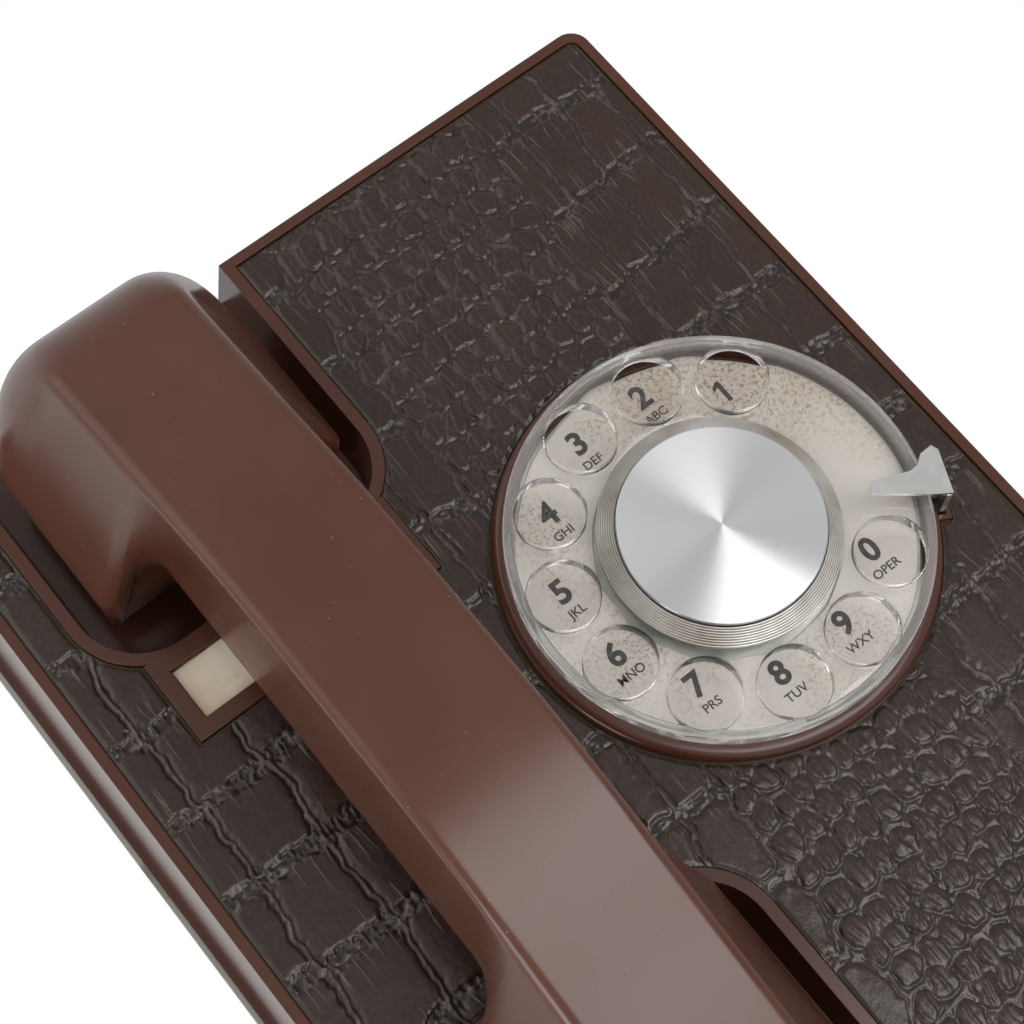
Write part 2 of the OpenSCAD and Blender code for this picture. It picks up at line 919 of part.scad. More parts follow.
// Two bobbins of copper wire between square cheeks
module ringer_coils() {
    low = plate_t + ringer_t;
    half = coil_r + 0.3;
    color(copper)
        stand()
            for (s = [-1, 1])
                translate([ringer_x + s * 14, coil_y, low + half]) {
                    rotate([0, 90, 0]) cylinder(15, coil_r - 0.6, coil_r - 0.6, center = true);
                    for (t = [-1, 1])
                        translate([t * 7.6, 0, 0])
                            cube([1.2, 2 * half, 2 * half], center = true);
                }
}

// Bell with a rounded shoulder, open toward the wall
module gong(r) {
    difference() {
        union() {
            pin(r, gong_rim, gong_top - 3.6);
            translate([0, 0, gong_top - 3.6]) cylinder(2.2, r, r - 1.6);
            translate([0, 0, gong_top - 1.4]) cylinder(1.4, r - 1.6, r - 5);
        }
        pin(r - gong_wall, gong_rim - 1, gong_top - 4.2);
        translate([0, 0, gong_top - 4.2 - eps])
            cylinder(4.2 - gong_wall + eps, r - gong_wall, r - 5.5);
        pin(1.55, gong_rim, gong_top + 1);
    }
}

module gong_low() {
    color(brass) stand() gong_place(1) gong(gong_r);
}

module gong_high() {
    color(brass) stand() gong_place(-1) gong(gong_r - 0.6);
}

module gong_screws() {
    color(steel)
        stand()
            for (s = [-1, 1])
                gong_place(s) {
                    pin(1.45, gong_top - 7, gong_top + 0.5);
                    difference() {
                        pin(3, gong_top, gong_top + 1.4);
                        translate([-4, -0.4, gong_top + 0.8]) cube([8, 0.8, 2]);
                    }
                }
}

module clapper() {
    color(steel)
        stand()
            translate([ringer_x, clapper_y, 0])
                difference() {
                    union() {
                        pin(3, 8, 17);
                        translate([-9, -1.5, 8]) cube([18, 3, 2.4]);
                        translate([-0.8, 0, 15.4]) cube([1.6, ringer_y - clapper_y, 1.2]);
                        translate([0, ringer_y - clapper_y, 0]) pin(clapper_r, 14.6, 18.6);
                    }
                    pin(1.5 + run_gap, 7, 18);
                }
}

module clapper_pin() {
    color(bright)
        stand()
            translate([ringer_x, clapper_y, 0]) {
                pin(1.5, plate_t + ringer_t, 17.8);
                pin(2.6, plate_t + ringer_t, 7.7);
                pin(2.2, 17.3, 18.2);
            }
}

// ---------- Network and terminals ----------

net_x = face_w / 2 - 33.85;
net_y = -face_h / 2 + 37.15;
net_w = 48;
net_l = 34;
net_top = 17;

module network_screw_places() {
    for (s = [-1, 1], i = [-2:2])
        translate([net_x + i * 9, net_y + s * (net_l / 2 - 4), 0]) children();
}

module network_block() {
    color("#3a3f45")
        stand()
            difference() {
                union() {
                    translate([net_x - net_w / 2, net_y - net_l / 2, plate_t])
                        cube([net_w, net_l, net_top - plate_t - 4]);
                    for (s = [-1, 1])
                        translate([net_x - net_w / 2, net_y + s * (net_l / 2 - 4) - 4, plate_t])
                            cube([net_w, 8, net_top - plate_t]);
                }
                network_screw_places() pin(1.2, net_top - 6, net_top + 1);
            }
}

module network_screws() {
    color(brass)
        stand()
            network_screw_places() {
                pin(1.15, net_top - 5, net_top + 0.5);
                difference() {
                    pin(2.6, net_top, net_top + 1.4);
                    translate([-3, -0.35, net_top + 0.9]) cube([6, 0.7, 2]);
                }
            }
}

module line_terminals() {
    x = -face_w / 2 + 14.85;
    color("#5a5248")
        stand() {
            translate([x - 6, -24, plate_t]) cube([12, 44, 6]);
            for (i = [0:4])
                translate([x - 6, -24 + i * 10.5, plate_t]) cube([12, 2, 10]);
            for (i = [0:3])
                translate([x, -17.75 + i * 10.5, 0]) pin(2.8, plate_t + 5, plate_t + 8);
        }
}

// ---------- Handset ----------

cup_x = hs_cup_w / 2;
grip_x = hs_grip_w / 2;
ridge_x = hs_back_w / 2;
hs_end = hs_l / 2;
facet_r = 6;
cup_r = 3;
ear_fillet = 4.5;
mouth_fillet = 10;
mouth_fillet_y = -35.5;
ear_fan = [46, 28];
mouth_fan = [42, 31];
fan_corner = 2;
flat_mid = 0.5;
seam_cup_z = body_d + seam_cup;
seam_grip_z = body_d + seam_grip;
rest_z = recess_floor + seat_gap;
cup_under = rest_z + cap_h;
grip_under = seam_grip_z - grip_belly;
collar_h = 2.4;
collar_t = 2;
hs_screw_y = 22;

function bend(u) = u < hs_bend ? pow(max(u, 0), 2) / 2 / hs_bend : u - hs_bend / 2;
function crown(y) = body_d + hs_crown
    - hs_slope * bend(abs(y - flat_mid) - hs_flat + hs_bend / 2);
function ease(k) = k * k * (3 - 2 * k);
function mix(a, b, t) = a + (b - a) * t;
function grip_part(x) = ease(min(max((cup_x - x) / (cup_x - grip_x), 0), 1));

// One station of the outline: seam x and y, ridge x and y, how much of it is handle, and
// the direction that the end swells in, which is nothing on the sides
function end_station(a, s, d) =
    [cup_x - hs_end_r + (hs_end_r - d) * cos(a),
     s * (hs_end - hs_end_r + (hs_end_r - d) * sin(a)),
     ridge_x - facet_r + facet_r * cos(a),
     s * (hs_end - hs_end_lean - facet_r + facet_r * sin(a)),
     0, sin(a) * cos(a), s * sin(a) * sin(a)];

function side_station(x, y, x_bare, ridge_y) = [x, y, ridge_x, ridge_y, grip_part(x_bare), 0, 0];

function cup_corner(a, s, y, d, ridge_y) =
    let (r = max(cup_r - d, 0.2))
    side_station(cup_x - d - r + r * cos(a), s * (y + d + r - r * sin(a)),
                 cup_x - cup_r + cup_r * cos(a), s * ridge_y);

function fillet_station(a, s, y, r, d, ridge_y) =
    side_station(grip_x + r - (r + d) * cos(a), s * (y + (r + d) * sin(a)),
                 grip_x + r - r * cos(a), s * ridge_y);

// The side's lines fan out from the cups into the handle: this is where a handle line that
// leaves the seam at y meets the ridge
function handle_station(y, d) =
    let (end = y > flat_mid ? ear_in - ear_fillet : mouth_fillet_y,
         gap = y > flat_mid ? ear_in - ear_fillet - ear_fan[1] : mouth_fillet_y + mouth_fan[1])
    side_station(grip_x - d, y, grip_x, y - gap * pow((y - flat_mid) / (end - flat_mid), 2));

// The right half of the outline from the ear end to the mouth end, inset by d
function stations(d) = concat(
    [for (a = [90:-11.25:0]) end_station(a, 1, d)],
    [for (a = [0:16.4:82])
        cup_corner(a, 1, ear_in, d, mix(ear_in + cup_r, ear_in - fan_corner, a / 82))],
    [for (a = [82:-16.4:0])
        fillet_station(a, 1, ear_in - ear_fillet, ear_fillet, d,
                       mix(ear_fan[1], ear_fan[0], a / 82))],
    [for (y = [38, 29, 20, 10, flat_mid, -9, -18, -27]) handle_station(y, d)],
    [for (a = [0:12.5:75])
        fillet_station(a, -1, -mouth_fillet_y, mouth_fillet, d,
                       mix(mouth_fan[1], mouth_fan[0], a / 75))],
    [for (a = [75:-15:0])
        cup_corner(a, -1, mouth_in - cup_r, d, mix(mouth_in, mouth_in - cup_r - fan_corner,
                                                   a / 75))],
    [for (a = [0:11.25:90]) end_station(a, -1, d)]);

half_n = len(stations(0));
ring_n = 2 * half_n;

function mirrored(v) = concat(v, [for (i = [len(v) - 1:-1:0]) [-v[i][0], v[i][1], v[i][2]]]);
function seam_z(k) = seam_cup_z + k * (seam_grip_z - seam_cup_z);
function under_z(k) = cup_under + k * (grip_under - cup_under);

function seam_ring(d) = mirrored([for (s = stations(d)) [s[0], s[1], seam_z(s[4])]]);

// Ring along the ridge, set in by d and down by drop on the sides, by de and drop_e at the ends
function ridge_ring(d, drop, de, drop_e) = mirrored([
    for (s = stations(0))
        let (w = norm([s[5], s[6]]), y = s[3] - (w > 0 ? de * s[6] / w : 0))
        [s[2] - d * (w > 0 ? s[5] / w : 1), y, crown(y) - mix(drop, drop_e, w)]]);

// Ring on the side, part t of the way from seam to ridge, te at the ends
function side_ring(t, te) = mirrored([
    for (s = stations(0))
        let (u = mix(t, te, norm([s[5], s[6]])), swell = 4 * u * (1 - u) * hs_end_swell)
        [mix(s[0], s[2], u) + swell * s[5], mix(s[1], s[3], u) + swell * s[6],
         mix(seam_z(s[4]), crown(s[3]), u)]]);
function under_ring(d, up) = mirrored([for (s = stations(d)) [s[0], s[1], under_z(s[4]) + up]]);

// Skin between a list of rings, closed round from the last ring to the first; the rings
// at and after the turn are covered straight across
function skin_band(p, q) =
    [for (j = [0:ring_n - 1], t = [0, 1]) let (n = (j + 1) % ring_n)
        t == 0 ? [p * ring_n + j, q * ring_n + j, q * ring_n + n]
               : [p * ring_n + j, q * ring_n + n, p * ring_n + n]];
function skin_cover(p, flip) =
    [for (i = [0:half_n - 2], t = [0, 1])
        let (a = p * ring_n + i, b = a + 1, c = p * ring_n + ring_n - 2 - i, d = c + 1,
             f = t == 0 ? [a, b, c] : [a, c, d])
        flip ? [f[2], f[1], f[0]] : f];

module shell_of(rings, turn, flip) {
    count = len(rings);
    bands = [for (r = [0:count - 1]) if (r != turn) [r, (r + 1) % count]];
    faces = concat([for (b = bands) each skin_band(b[0], b[1])],
                   skin_cover(turn, false), skin_cover(turn + 1, true));
    polyhedron([for (r = rings) each r],
               flip ? [for (f = faces) [f[2], f[1], f[0]]] : faces, 4);
}

module at_handset() {
    translate([cradle_x, hs_y, 0]) children();
}

module hs_screw_places() {
    for (s = [-1, 1])
        translate([0, s * hs_screw_y, 0]) children();
}

// Back of the handset: flat crown, straight ridges and plain sloping sides
module handset_shell() {
    color(brown)
        stand()
            at_handset()
                difference() {
                    union() {
                        shell_of([seam_ring(0), side_ring(0.33, 0.3), side_ring(0.66, 0.6),
                                  side_ring(0.955, 0.85), ridge_ring(0.35, 0.3, 1.8, 1.1),
                                  ridge_ring(1.3, 0, 5, 0),
                                  ridge_ring(hs_wall + 1, hs_wall, hs_wall + 3.4, hs_wall),
                                  seam_ring(hs_wall)],
                                 5, false);
                        hs_screw_places() pin(3.4, seam_grip_z, crown(hs_screw_y) - 1);
                    }
                    hs_screw_places() pin(1.25, seam_grip_z - 1, seam_grip_z + 14);
                }
}

jack_hs_z = cup_under + hs_wall + 4.7;

// Underside of the handset, with a bore for each cap
module handset_cover() {
    color(brown)
        stand()
            at_handset()
                difference() {
                    shell_of([seam_ring(0), under_ring(0.8, 2.2), under_ring(2.2, 0),
                              under_ring(hs_wall + 1.6, hs_wall), seam_ring(hs_wall)],
                             2, true);
                    translate([0, ear_centre, 0])
                        pin(ear_cap_r - 2, cup_under - 2, cup_under + 5);
                    translate([0, mouth_centre, 0])
                        pin(mouth_cap_r - 2, cup_under - 2, cup_under + 5);
                    hs_screw_places() {
                        pin(1.6, grip_under - 1, seam_grip_z);
                        pin(3, grip_under - 1, grip_under + 1.1);
                    }
                    translate([-5.55, -hs_end - 2, jack_hs_z - 4.35]) cube([11.1, 8, 8.7]);
                }
}

// Screw-on cap with sound holes, closed side toward the wall
module cap(r, holes) {
    in_r = r - 2.1;
    difference() {
        rotate_extrude()
            polygon([[0, rest_z], [r - 1.4, rest_z], [r, rest_z + 1.4], [r, cup_under],
                     [in_r, cup_under], [in_r, cup_under + collar_h],
                     [in_r - collar_t, cup_under + collar_h], [in_r - collar_t, rest_z + 1.8],
                     [0, rest_z + 1.8]]);
        for (ring_at = holes, i = [0:ring_at[1] - 1])
            rotate(i * 360 / ring_at[1])
                translate([ring_at[0], 0, 0]) pin(1.1, rest_z - 1, rest_z + 3);
    }
}

module ear_cap() {
    color(brown_dark)
        stand() at_handset() translate([0, ear_centre, 0]) cap(ear_cap_r, [[7.5, 6], [0, 1]]);
}

module mouth_cap() {
    color(brown_dark)
        stand()
            at_handset()
                translate([0, mouth_centre, 0]) cap(mouth_cap_r, [[5, 6], [10, 12], [0, 1]]);
}

module capsule(r, deep) {
    low = cup_under + collar_h;
    pin(r, low, low + deep - 2.4);
    pin(r - 3, low + deep - 3, low + deep);
    for (s = [-1, 1])
        translate([s * 6, 0, 0]) pin(1.5, low + deep - 1, low + deep + 1.2);
}

module receiver_capsule() {
    color("#8d9092")
        stand()
            at_handset() translate([0, ear_centre, 0]) capsule(ear_cap_r - 3, 8.6);
}

module transmitter_capsule() {
    color("#a39d84")
        stand()
            at_handset() translate([0, mouth_centre, 0]) capsule(mouth_cap_r - 4.9, 6);
}

module handset_screws() {
    color(steel)
        stand()
            at_handset()
                hs_screw_places() {
                    pin(1.2, grip_under + 0.5, seam_grip_z + 12);
                    difference() {
                        pin(2.8, grip_under, grip_under + 1.1);
                        translate([-3, -0.4, grip_under - 1]) cube([6, 0.8, 1.6]);
                    }
                }
}

module handset_jack() {
    color(black)
        stand()
            at_handset()
                translate([0, -hs_end + 0.7, jack_hs_z]) jack_block(11, 8.6, 7.6);
}

// ---------- Assembly ----------

base_plate();
housing();
leather_panel();
number_card();
card_window();
housing_screws();
line_jack();
dial_bezel();
number_plate();
dial_frame();
dial_screws();
finger_stop();
main_spring();
governor_cup();
rear_bridge();
pulse_contacts();
finger_wheel();
center_disc();
hub_nut();
dial_shaft();
main_gear();
governor_shaft();
governor_pinion();
governor_weights();
pulse_cam();
hook_plunger();
plunger_clip();
hook_bracket();
hook_contacts();
ringer_frame();
ringer_coils();
gong_low();
gong_high();
gong_screws();
clapper();
clapper_pin();
network_block();
network_screws();
line_terminals();
handset_shell();
handset_cover();
ear_cap();
mouth_cap();
receiver_capsule();
transmitter_capsule();
handset_screws();
handset_jack();
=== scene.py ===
"""Looks of a slimline wall telephone: rotary dial, crocodile-pattern leather face, brown handset.

Lengths are given in millimetres as (x, z, h): x to the right, z up the phone, h out of the wall.
Only the lights, the floor and the distances in materials are in metres, as Blender has them.
"""
import math

import bmesh
import bpy
import numpy as np
from mathutils import Matrix, Vector


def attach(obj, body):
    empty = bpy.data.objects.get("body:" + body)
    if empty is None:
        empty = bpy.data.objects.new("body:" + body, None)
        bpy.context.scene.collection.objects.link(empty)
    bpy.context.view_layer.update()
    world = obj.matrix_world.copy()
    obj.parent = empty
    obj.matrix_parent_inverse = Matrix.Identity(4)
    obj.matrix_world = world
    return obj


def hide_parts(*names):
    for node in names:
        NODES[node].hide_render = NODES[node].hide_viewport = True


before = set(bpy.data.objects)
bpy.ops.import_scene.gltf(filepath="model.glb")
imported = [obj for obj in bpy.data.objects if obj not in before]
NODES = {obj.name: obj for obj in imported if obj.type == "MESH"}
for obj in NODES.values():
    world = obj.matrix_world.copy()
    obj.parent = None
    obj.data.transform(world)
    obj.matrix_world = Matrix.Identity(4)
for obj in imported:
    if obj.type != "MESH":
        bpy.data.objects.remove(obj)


def write_size():
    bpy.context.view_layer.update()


write_size()

DIAL_X, DIAL_Z = 30.0, 3.5
TO_DIAL = (-DIAL_X / 1000, 0, -DIAL_Z / 1000)
CRADLE_X, HS_Z = -37.0, 5.5


def at(x, z, h):
    return Vector((x / 1000, -h / 1000, z / 1000))


def mix(a, b, t):
    return a + (b - a) * t


def span(low, high, count):
    return [mix(low, high, i / count) for i in range(count + 1)]


# ---------- Camera, stage and light ----------

# Solved from the wheel, the face's straight edges and the recesses
LENS = 80.48
CAMERA_X, CAMERA_Z, CAMERA_H = -96.47, -86.38, 411.13

scene = bpy.context.scene
camera = bpy.data.objects.new("camera", bpy.data.cameras.new("camera"))
scene.collection.objects.link(camera)
scene.camera = camera
camera.data.sensor_width = 36
camera.data.lens = LENS
camera.data.clip_start, camera.data.clip_end = 0.01, 20
RIGHT = Vector((0.78064, -0.01656, -0.62476))
UP = Vector((0.57309, -0.37981, 0.72616))
BACK = Vector((-0.24932, -0.92491, -0.28701))
turn = Matrix((RIGHT, UP, BACK)).transposed().to_4x4()
camera.matrix_world = Matrix.Translation(at(CAMERA_X, CAMERA_Z, CAMERA_H)) @ turn

scene.view_settings.view_transform = "Standard"
scene.cycles.max_bounces = 10
scene.cycles.transparent_max_bounces = 16
scene.cycles.use_denoising = True

FRONT_GLOSS = 0.5
world = bpy.data.worlds.new("world")
scene.world = world
world.use_nodes = True
wt = world.node_tree
wt.nodes.clear()


def world_node(kind, *inputs, **values):
    made = wt.nodes.new("ShaderNode" + kind)
    for socket, value in enumerate(inputs):
        if isinstance(value, bpy.types.NodeSocket):
            wt.links.new(value, made.inputs[socket])
        elif value is not None:
            made.inputs[socket].default_value = value
    for key, value in values.items():
        setattr(made, key, value)
    return made


# Camera, gloss and glass see the white behind the phone; the room in front of it is dimmer
w_path = world_node("LightPath").outputs
w_way = world_node("SeparateXYZ", world_node("TexCoord").outputs["Generated"]).outputs
w_front = world_node("MapRange", w_way[1], -0.75, -0.1, FRONT_GLOSS, 0.72).outputs[0]
w_clear = world_node("Math", w_path["Is Camera Ray"], w_path["Is Transmission Ray"],
                     operation="MAXIMUM").outputs[0]
w_soft = world_node("Background", (0.97, 0.98, 1.0, 1), 0.5).outputs[0]
w_room = world_node("Background", (1, 1, 1, 1), w_front).outputs[0]
w_white = world_node("Background", (1, 1, 1, 1), 1.0).outputs[0]
w_seen = world_node("MixShader", w_path["Is Glossy Ray"], w_soft, w_room).outputs[0]
w_all = world_node("MixShader", w_clear, w_seen, w_white).outputs[0]
world_node("OutputWorld", w_all)


def area(name, where, target, size, power):
    data = bpy.data.lights.new(name, "AREA")
    data.shape = "RECTANGLE"
    data.size, data.size_y = size
    data.energy = power
    light = bpy.data.objects.new(name, data)
    scene.collection.objects.link(light)
    light.location = where
    light.rotation_mode = "QUATERNION"
    light.rotation_quaternion = (Vector(target) - Vector(where)).to_track_quat("-Z", "Y")


area("key_light", (0.17, -0.88, -0.33), (0, 0, 0), (0.55, 0.55), 3.8)
area("left_light", (-0.95, -0.22, -0.25), (0, -0.05, 0), (0.5, 0.3), 2.6)
area("soft_light", (-0.55, -0.75, 0.62), (0, 0, 0), (1.0, 1.0), 2.6)


def new_mesh(name, points, faces, material=None, smooth=True):
    mesh = bpy.data.meshes.new(name)
    mesh.from_pydata([tuple(p) for p in points], [], [tuple(f) for f in faces])
    mesh.validate()
    mesh.update()
    piece = bpy.data.objects.new(name, mesh)
    scene.collection.objects.link(piece)
    if smooth:
        mesh.shade_smooth()
    if material:
        mesh.materials.append(material)
    return piece


def normals_out(piece):
    bm = bmesh.new()
    bm.from_mesh(piece.data)
    bmesh.ops.recalc_face_normals(bm, faces=bm.faces)
    bm.to_mesh(piece.data)
    bm.free()


def evaluated(piece):
    """Mesh of an object with its modifiers applied, or of a text."""
    bpy.context.view_layer.update()
    return bpy.data.meshes.new_from_object(piece.evaluated_get(
        bpy.context.evaluated_depsgraph_get()))


def dress(mesh, material):
    mesh.materials.clear()
    mesh.materials.append(material)


# ---------- Materials ----------


def linear(r, g, b):
    return tuple((c / 255 / 12.92) if c <= 10 else ((c / 255 + 0.055) / 1.055) ** 2.4
                 for c in (r, g, b)) + (1,)


class Look:
    """One node material round a Principled shader."""

    def __init__(self, name, colour, rough, metal=0.0, **shader):
        self.material = bpy.data.materials.new(name)
        self.material.use_nodes = True
        self.tree = self.material.node_tree
        self.shader = self.tree.nodes["Principled BSDF"]
        self.height = None
        self.shader.inputs["Base Color"].default_value = colour
        self.shader.inputs["Roughness"].default_value = rough
        self.shader.inputs["Metallic"].default_value = metal
        for key, value in shader.items():
            self.shader.inputs[key.replace("_", " ")].default_value = value
        coords = self.tree.nodes.new("ShaderNodeTexCoord")
        self.where = coords.outputs["Object"]

    def node(self, kind):
        return self.tree.nodes.new("ShaderNode" + kind)

    def put(self, socket, value):
        if isinstance(value, bpy.types.NodeSocket):
            self.tree.links.new(value, socket)
        else:
            socket.default_value = value

    def mapped(self, scale=(1, 1, 1), turn=(0, 0, 0), move=(0, 0, 0)):
        made = self.node("Mapping")
        self.put(made.inputs["Vector"], self.where)
        made.inputs["Scale"].default_value = scale
        made.inputs["Rotation"].default_value = turn
        made.inputs["Location"].default_value = move
        return made.outputs[0]

    def noise(self, scale, detail=4, rough=0.55, bend=0.0, where=None):
        made = self.node("TexNoise")
        self.put(made.inputs["Vector"], where or self.where)
        made.inputs["Scale"].default_value = scale
        made.inputs["Detail"].default_value = detail
        made.inputs["Roughness"].default_value = rough
        made.inputs["Distortion"].default_value = bend
        return made.outputs["Fac"]

    def voronoi(self, scale):
        made = self.node("TexVoronoi")
        self.put(made.inputs["Vector"], self.where)
        made.inputs["Scale"].default_value = scale
        return made.outputs["Distance"]

    def attribute(self, name):
        made = self.node("Attribute")
        made.attribute_name = name
        return made.outputs["Fac"]

    def ramp(self, value, *stops):
        made = self.node("ValToRGB")
        self.put(made.inputs["Fac"], value)
        band = made.color_ramp
        while len(band.elements) < len(stops):
            band.elements.new(0.5)
        for element, (place, shade) in zip(band.elements, stops):
            element.position = place
            element.color = (shade,) * 3 + (1,) if isinstance(shade, (int, float)) else shade
        return made.outputs["Color"]

    def span(self, value, low, high, to_low=0.0, to_high=1.0):
        made = self.node("MapRange")
        self.put(made.inputs["Value"], value)
        for key, number in (("From Min", low), ("From Max", high),
                            ("To Min", to_low), ("To Max", to_high)):
            made.inputs[key].default_value = number
        return made.outputs["Result"]

    def sum(self, a, b, how="ADD"):
        made = self.node("Math")
        made.operation = how
        self.put(made.inputs[0], a)
        self.put(made.inputs[1], b)
        return made.outputs[0]

    def mix(self, part, a, b):
        made = self.node("Mix")
        made.data_type = "RGBA"
        self.put(made.inputs[0], part)
        self.put(made.inputs[6], a)
        self.put(made.inputs[7], b)
        return made.outputs[2]

    def paint(self, colour):
        self.put(self.shader.inputs["Base Color"], colour)
        return self

    def rough(self, value):
        self.put(self.shader.inputs["Roughness"], value)
        return self

    def bump(self, height, depth, strength=1.0):
        made = self.node("Bump")
        made.inputs["Distance"].default_value = depth
        made.inputs["Strength"].default_value = strength
        self.put(made.inputs["Height"], height)
        if self.height:
            self.put(made.inputs["Normal"], self.height)
        self.height = made.outputs["Normal"]
        self.put(self.shader.inputs["Normal"], self.height)
        return self


def plastic(name, base, worn, rough=0.2, dust=0.5):
    look = Look(name, base, rough, IOR=1.5)
    cloud = look.noise(38, 5)
    smear = look.noise(9, 3, 0.5, 0.6)
    tone = look.mix(look.span(cloud, 0.35, 0.75), base, worn)
    specks = look.ramp(look.voronoi(520), (0.0, 1.0), (0.045, 1.0), (0.07, 0.0))
    rare = look.ramp(look.noise(160, 2), (0.58, 0.0), (0.66, 1.0))
    part = look.sum(look.sum(specks, rare, "MULTIPLY"), dust, "MULTIPLY")
    look.paint(look.mix(part, tone, linear(190, 172, 160)))
    look.rough(look.span(look.sum(smear, cloud), 0.6, 1.4, rough - 0.05, rough + 0.09))
    scratch = look.noise(60, 6, 0.7, 0, look.mapped((1, 1, 14), (0.5, 0.3, 0.7)))
    look.bump(look.ramp(scratch, (0.70, 0.0), (0.74, 1.0)), 0.00002, 0.15)
    look.bump(look.noise(900, 2), 0.000015, 0.25)
    return look.material


def metal(name, base, rough, brushed=(1, 1, 1), grime=0.3, dirt=linear(96, 84, 60)):
    look = Look(name, base, rough, 1.0)
    grain = look.noise(420, 4, 0.6, 0, look.mapped(brushed))
    cloud = look.noise(30, 5, 0.6, 0.4)
    stain = look.ramp(look.noise(70, 6, 0.65, 0.5), (0.52, 0.0), (0.75, grime))
    look.paint(look.mix(stain, look.mix(look.span(cloud, 0.3, 0.7, 0, 0.35), base,
                                        tuple(c * 0.8 for c in base[:3]) + (1,)), dirt))
    look.rough(look.span(look.sum(grain, cloud), 0.7, 1.3, rough - 0.06, rough + 0.12))
    look.bump(grain, 0.00002, 0.35)
    return look.material


BROWN = linear(78, 43, 31)
BROWN_WORN = linear(86, 49, 36)
brown = plastic("brown_plastic", BROWN, BROWN_WORN, 0.2, 0.5)
brown_hs = plastic("brown_handset", linear(85, 48, 34), linear(93, 55, 40), 0.24, 0.8)
dark_brown = plastic("dark_brown_plastic", linear(50, 27, 19), linear(58, 32, 23), 0.25, 0.5)
black = plastic("black_plastic", linear(30, 28, 27), linear(38, 36, 34), 0.35, 0.4)
ivory = plastic("ivory_plastic", linear(214, 206, 182), linear(200, 190, 160), 0.35, 0.1)
grey = plastic("grey_plastic", linear(72, 76, 80), linear(84, 86, 88), 0.5, 0.3)
fibre = plastic("fibre_board", linear(104, 58, 34), linear(120, 72, 44), 0.6, 0.3)
zinc = metal("zinc_steel", (0.40, 0.41, 0.36, 1), 0.42, (1, 1, 1), 0.55)
bright = metal("bright_steel", (0.80, 0.81, 0.82, 1), 0.22, (1, 1, 9), 0.1)
chrome = metal("chromed_steel", (0.84, 0.84, 0.82, 1), 0.18, (1, 1, 1), 0.04)
brass = metal("plain_brass", (0.72, 0.52, 0.22, 1), 0.3, (9, 1, 1), 0.35, linear(80, 56, 30))
copper = metal("copper_wire", (0.72, 0.28, 0.12, 1), 0.35, (60, 1, 1), 0.2, linear(60, 26, 14))

for node, material in {
    "base_plate": zinc, "housing": brown, "housing_screws": zinc, "line_jack": black,
    "dial_bezel": brown, "dial_frame": zinc, "dial_screws": zinc, "finger_stop": chrome,
    "main_spring": bright, "governor_cup": zinc, "rear_bridge": zinc, "pulse_contacts": fibre,
    "hub_nut": zinc, "dial_shaft": bright, "main_gear": brass, "governor_shaft": bright,
    "governor_pinion": brass, "governor_weights": brass, "pulse_cam": black,
    "hook_plunger": ivory, "plunger_clip": zinc, "hook_bracket": zinc, "hook_contacts": fibre,
    "ringer_frame": zinc, "ringer_coils": copper, "gong_low": brass, "gong_high": brass,
    "gong_screws": zinc, "clapper": bright, "clapper_pin": bright, "network_block": grey,
    "network_screws": brass, "line_terminals": grey, "handset_shell": brown_hs,
    "handset_cover": brown_hs, "ear_cap": dark_brown, "mouth_cap": dark_brown,
    "receiver_capsule": zinc, "transmitter_capsule": zinc, "handset_screws": zinc,
    "handset_jack": black,
}.items():
    dress(NODES[node].data, material)

# ---------- Leather ----------

RIM = 2.0
FACE_W, FACE_H = 157.7, 206.3
LEATHER_LOW, LEATHER_TOP = 32.8, 33.55
INLAY_GAP, INLAY_R = 0.25, 1.6
RECESS_W, RECESS_R, RECESS_RIM = 60.6, 13, 2.3
EAR_EDGE, MOUTH_EDGE, PAST_FACE = 47.5, -38.2, 30
CARD_FRAME_Z, CARD_FRAME_W, CARD_FRAME_H, CARD_FRAME_R = 38.95, 51.8, 17.1, 0.4
STOP_ANGLE = math.radians(-28.5)
STOP_FOOT_W, STOP_FOOT_H, STOP_FOOT_R = 4.6, 5.2, 0.3
BEZEL_R = 40.2


def box_distance(x, z, cx, cz, w, h, r):
    dx = np.abs(x - cx) - w / 2 + r
    dz = np.abs(z - cz) - h / 2 + r
    outside = np.hypot(np.maximum(dx, 0), np.maximum(dz, 0))
    return outside + np.minimum(np.maximum(dx, dz), 0) - r


def leather_distance(x, z):
    """Signed distance to the inlay's edge, negative inside."""
    gap = INLAY_GAP
    far = FACE_H / 2 + PAST_FACE
    d = box_distance(x, z, 0, 0, FACE_W - 2 * RIM - 2 * gap, FACE_H - 2 * RIM - 2 * gap, INLAY_R)
    grow = RECESS_RIM + gap
    ear, mouth = far - EAR_EDGE, far + MOUTH_EDGE
    for cz, length in ((EAR_EDGE + ear / 2, ear), (MOUTH_EDGE - mouth / 2, mouth)):
        d = np.maximum(d, -box_distance(x, z, CRADLE_X, cz, RECESS_W + 2 * grow,
                                        length + 2 * grow, RECESS_R + grow))
    d = np.maximum(d, -box_distance(x, z, CRADLE_X, CARD_FRAME_Z, CARD_FRAME_W + 2 * gap,
                                    CARD_FRAME_H + 2 * gap, CARD_FRAME_R))
    d = np.maximum(d, BEZEL_R + gap - np.hypot(x - DIAL_X, z - DIAL_Z))
    u = (x - DIAL_X) * math.cos(STOP_ANGLE) + (z - DIAL_Z) * math.sin(STOP_ANGLE)
    v = (z - DIAL_Z) * math.cos(STOP_ANGLE) - (x - DIAL_X) * math.sin(STOP_ANGLE)
    return np.maximum(d, -box_distance(u, v, BEZEL_R + 0.1, 0, STOP_FOOT_W + 2 * gap,
                                       STOP_FOOT_H + 2 * gap, STOP_FOOT_R))


def step(t):
    t = np.clip(t, 0, 1)
    return t * t * (3 - 2 * t)


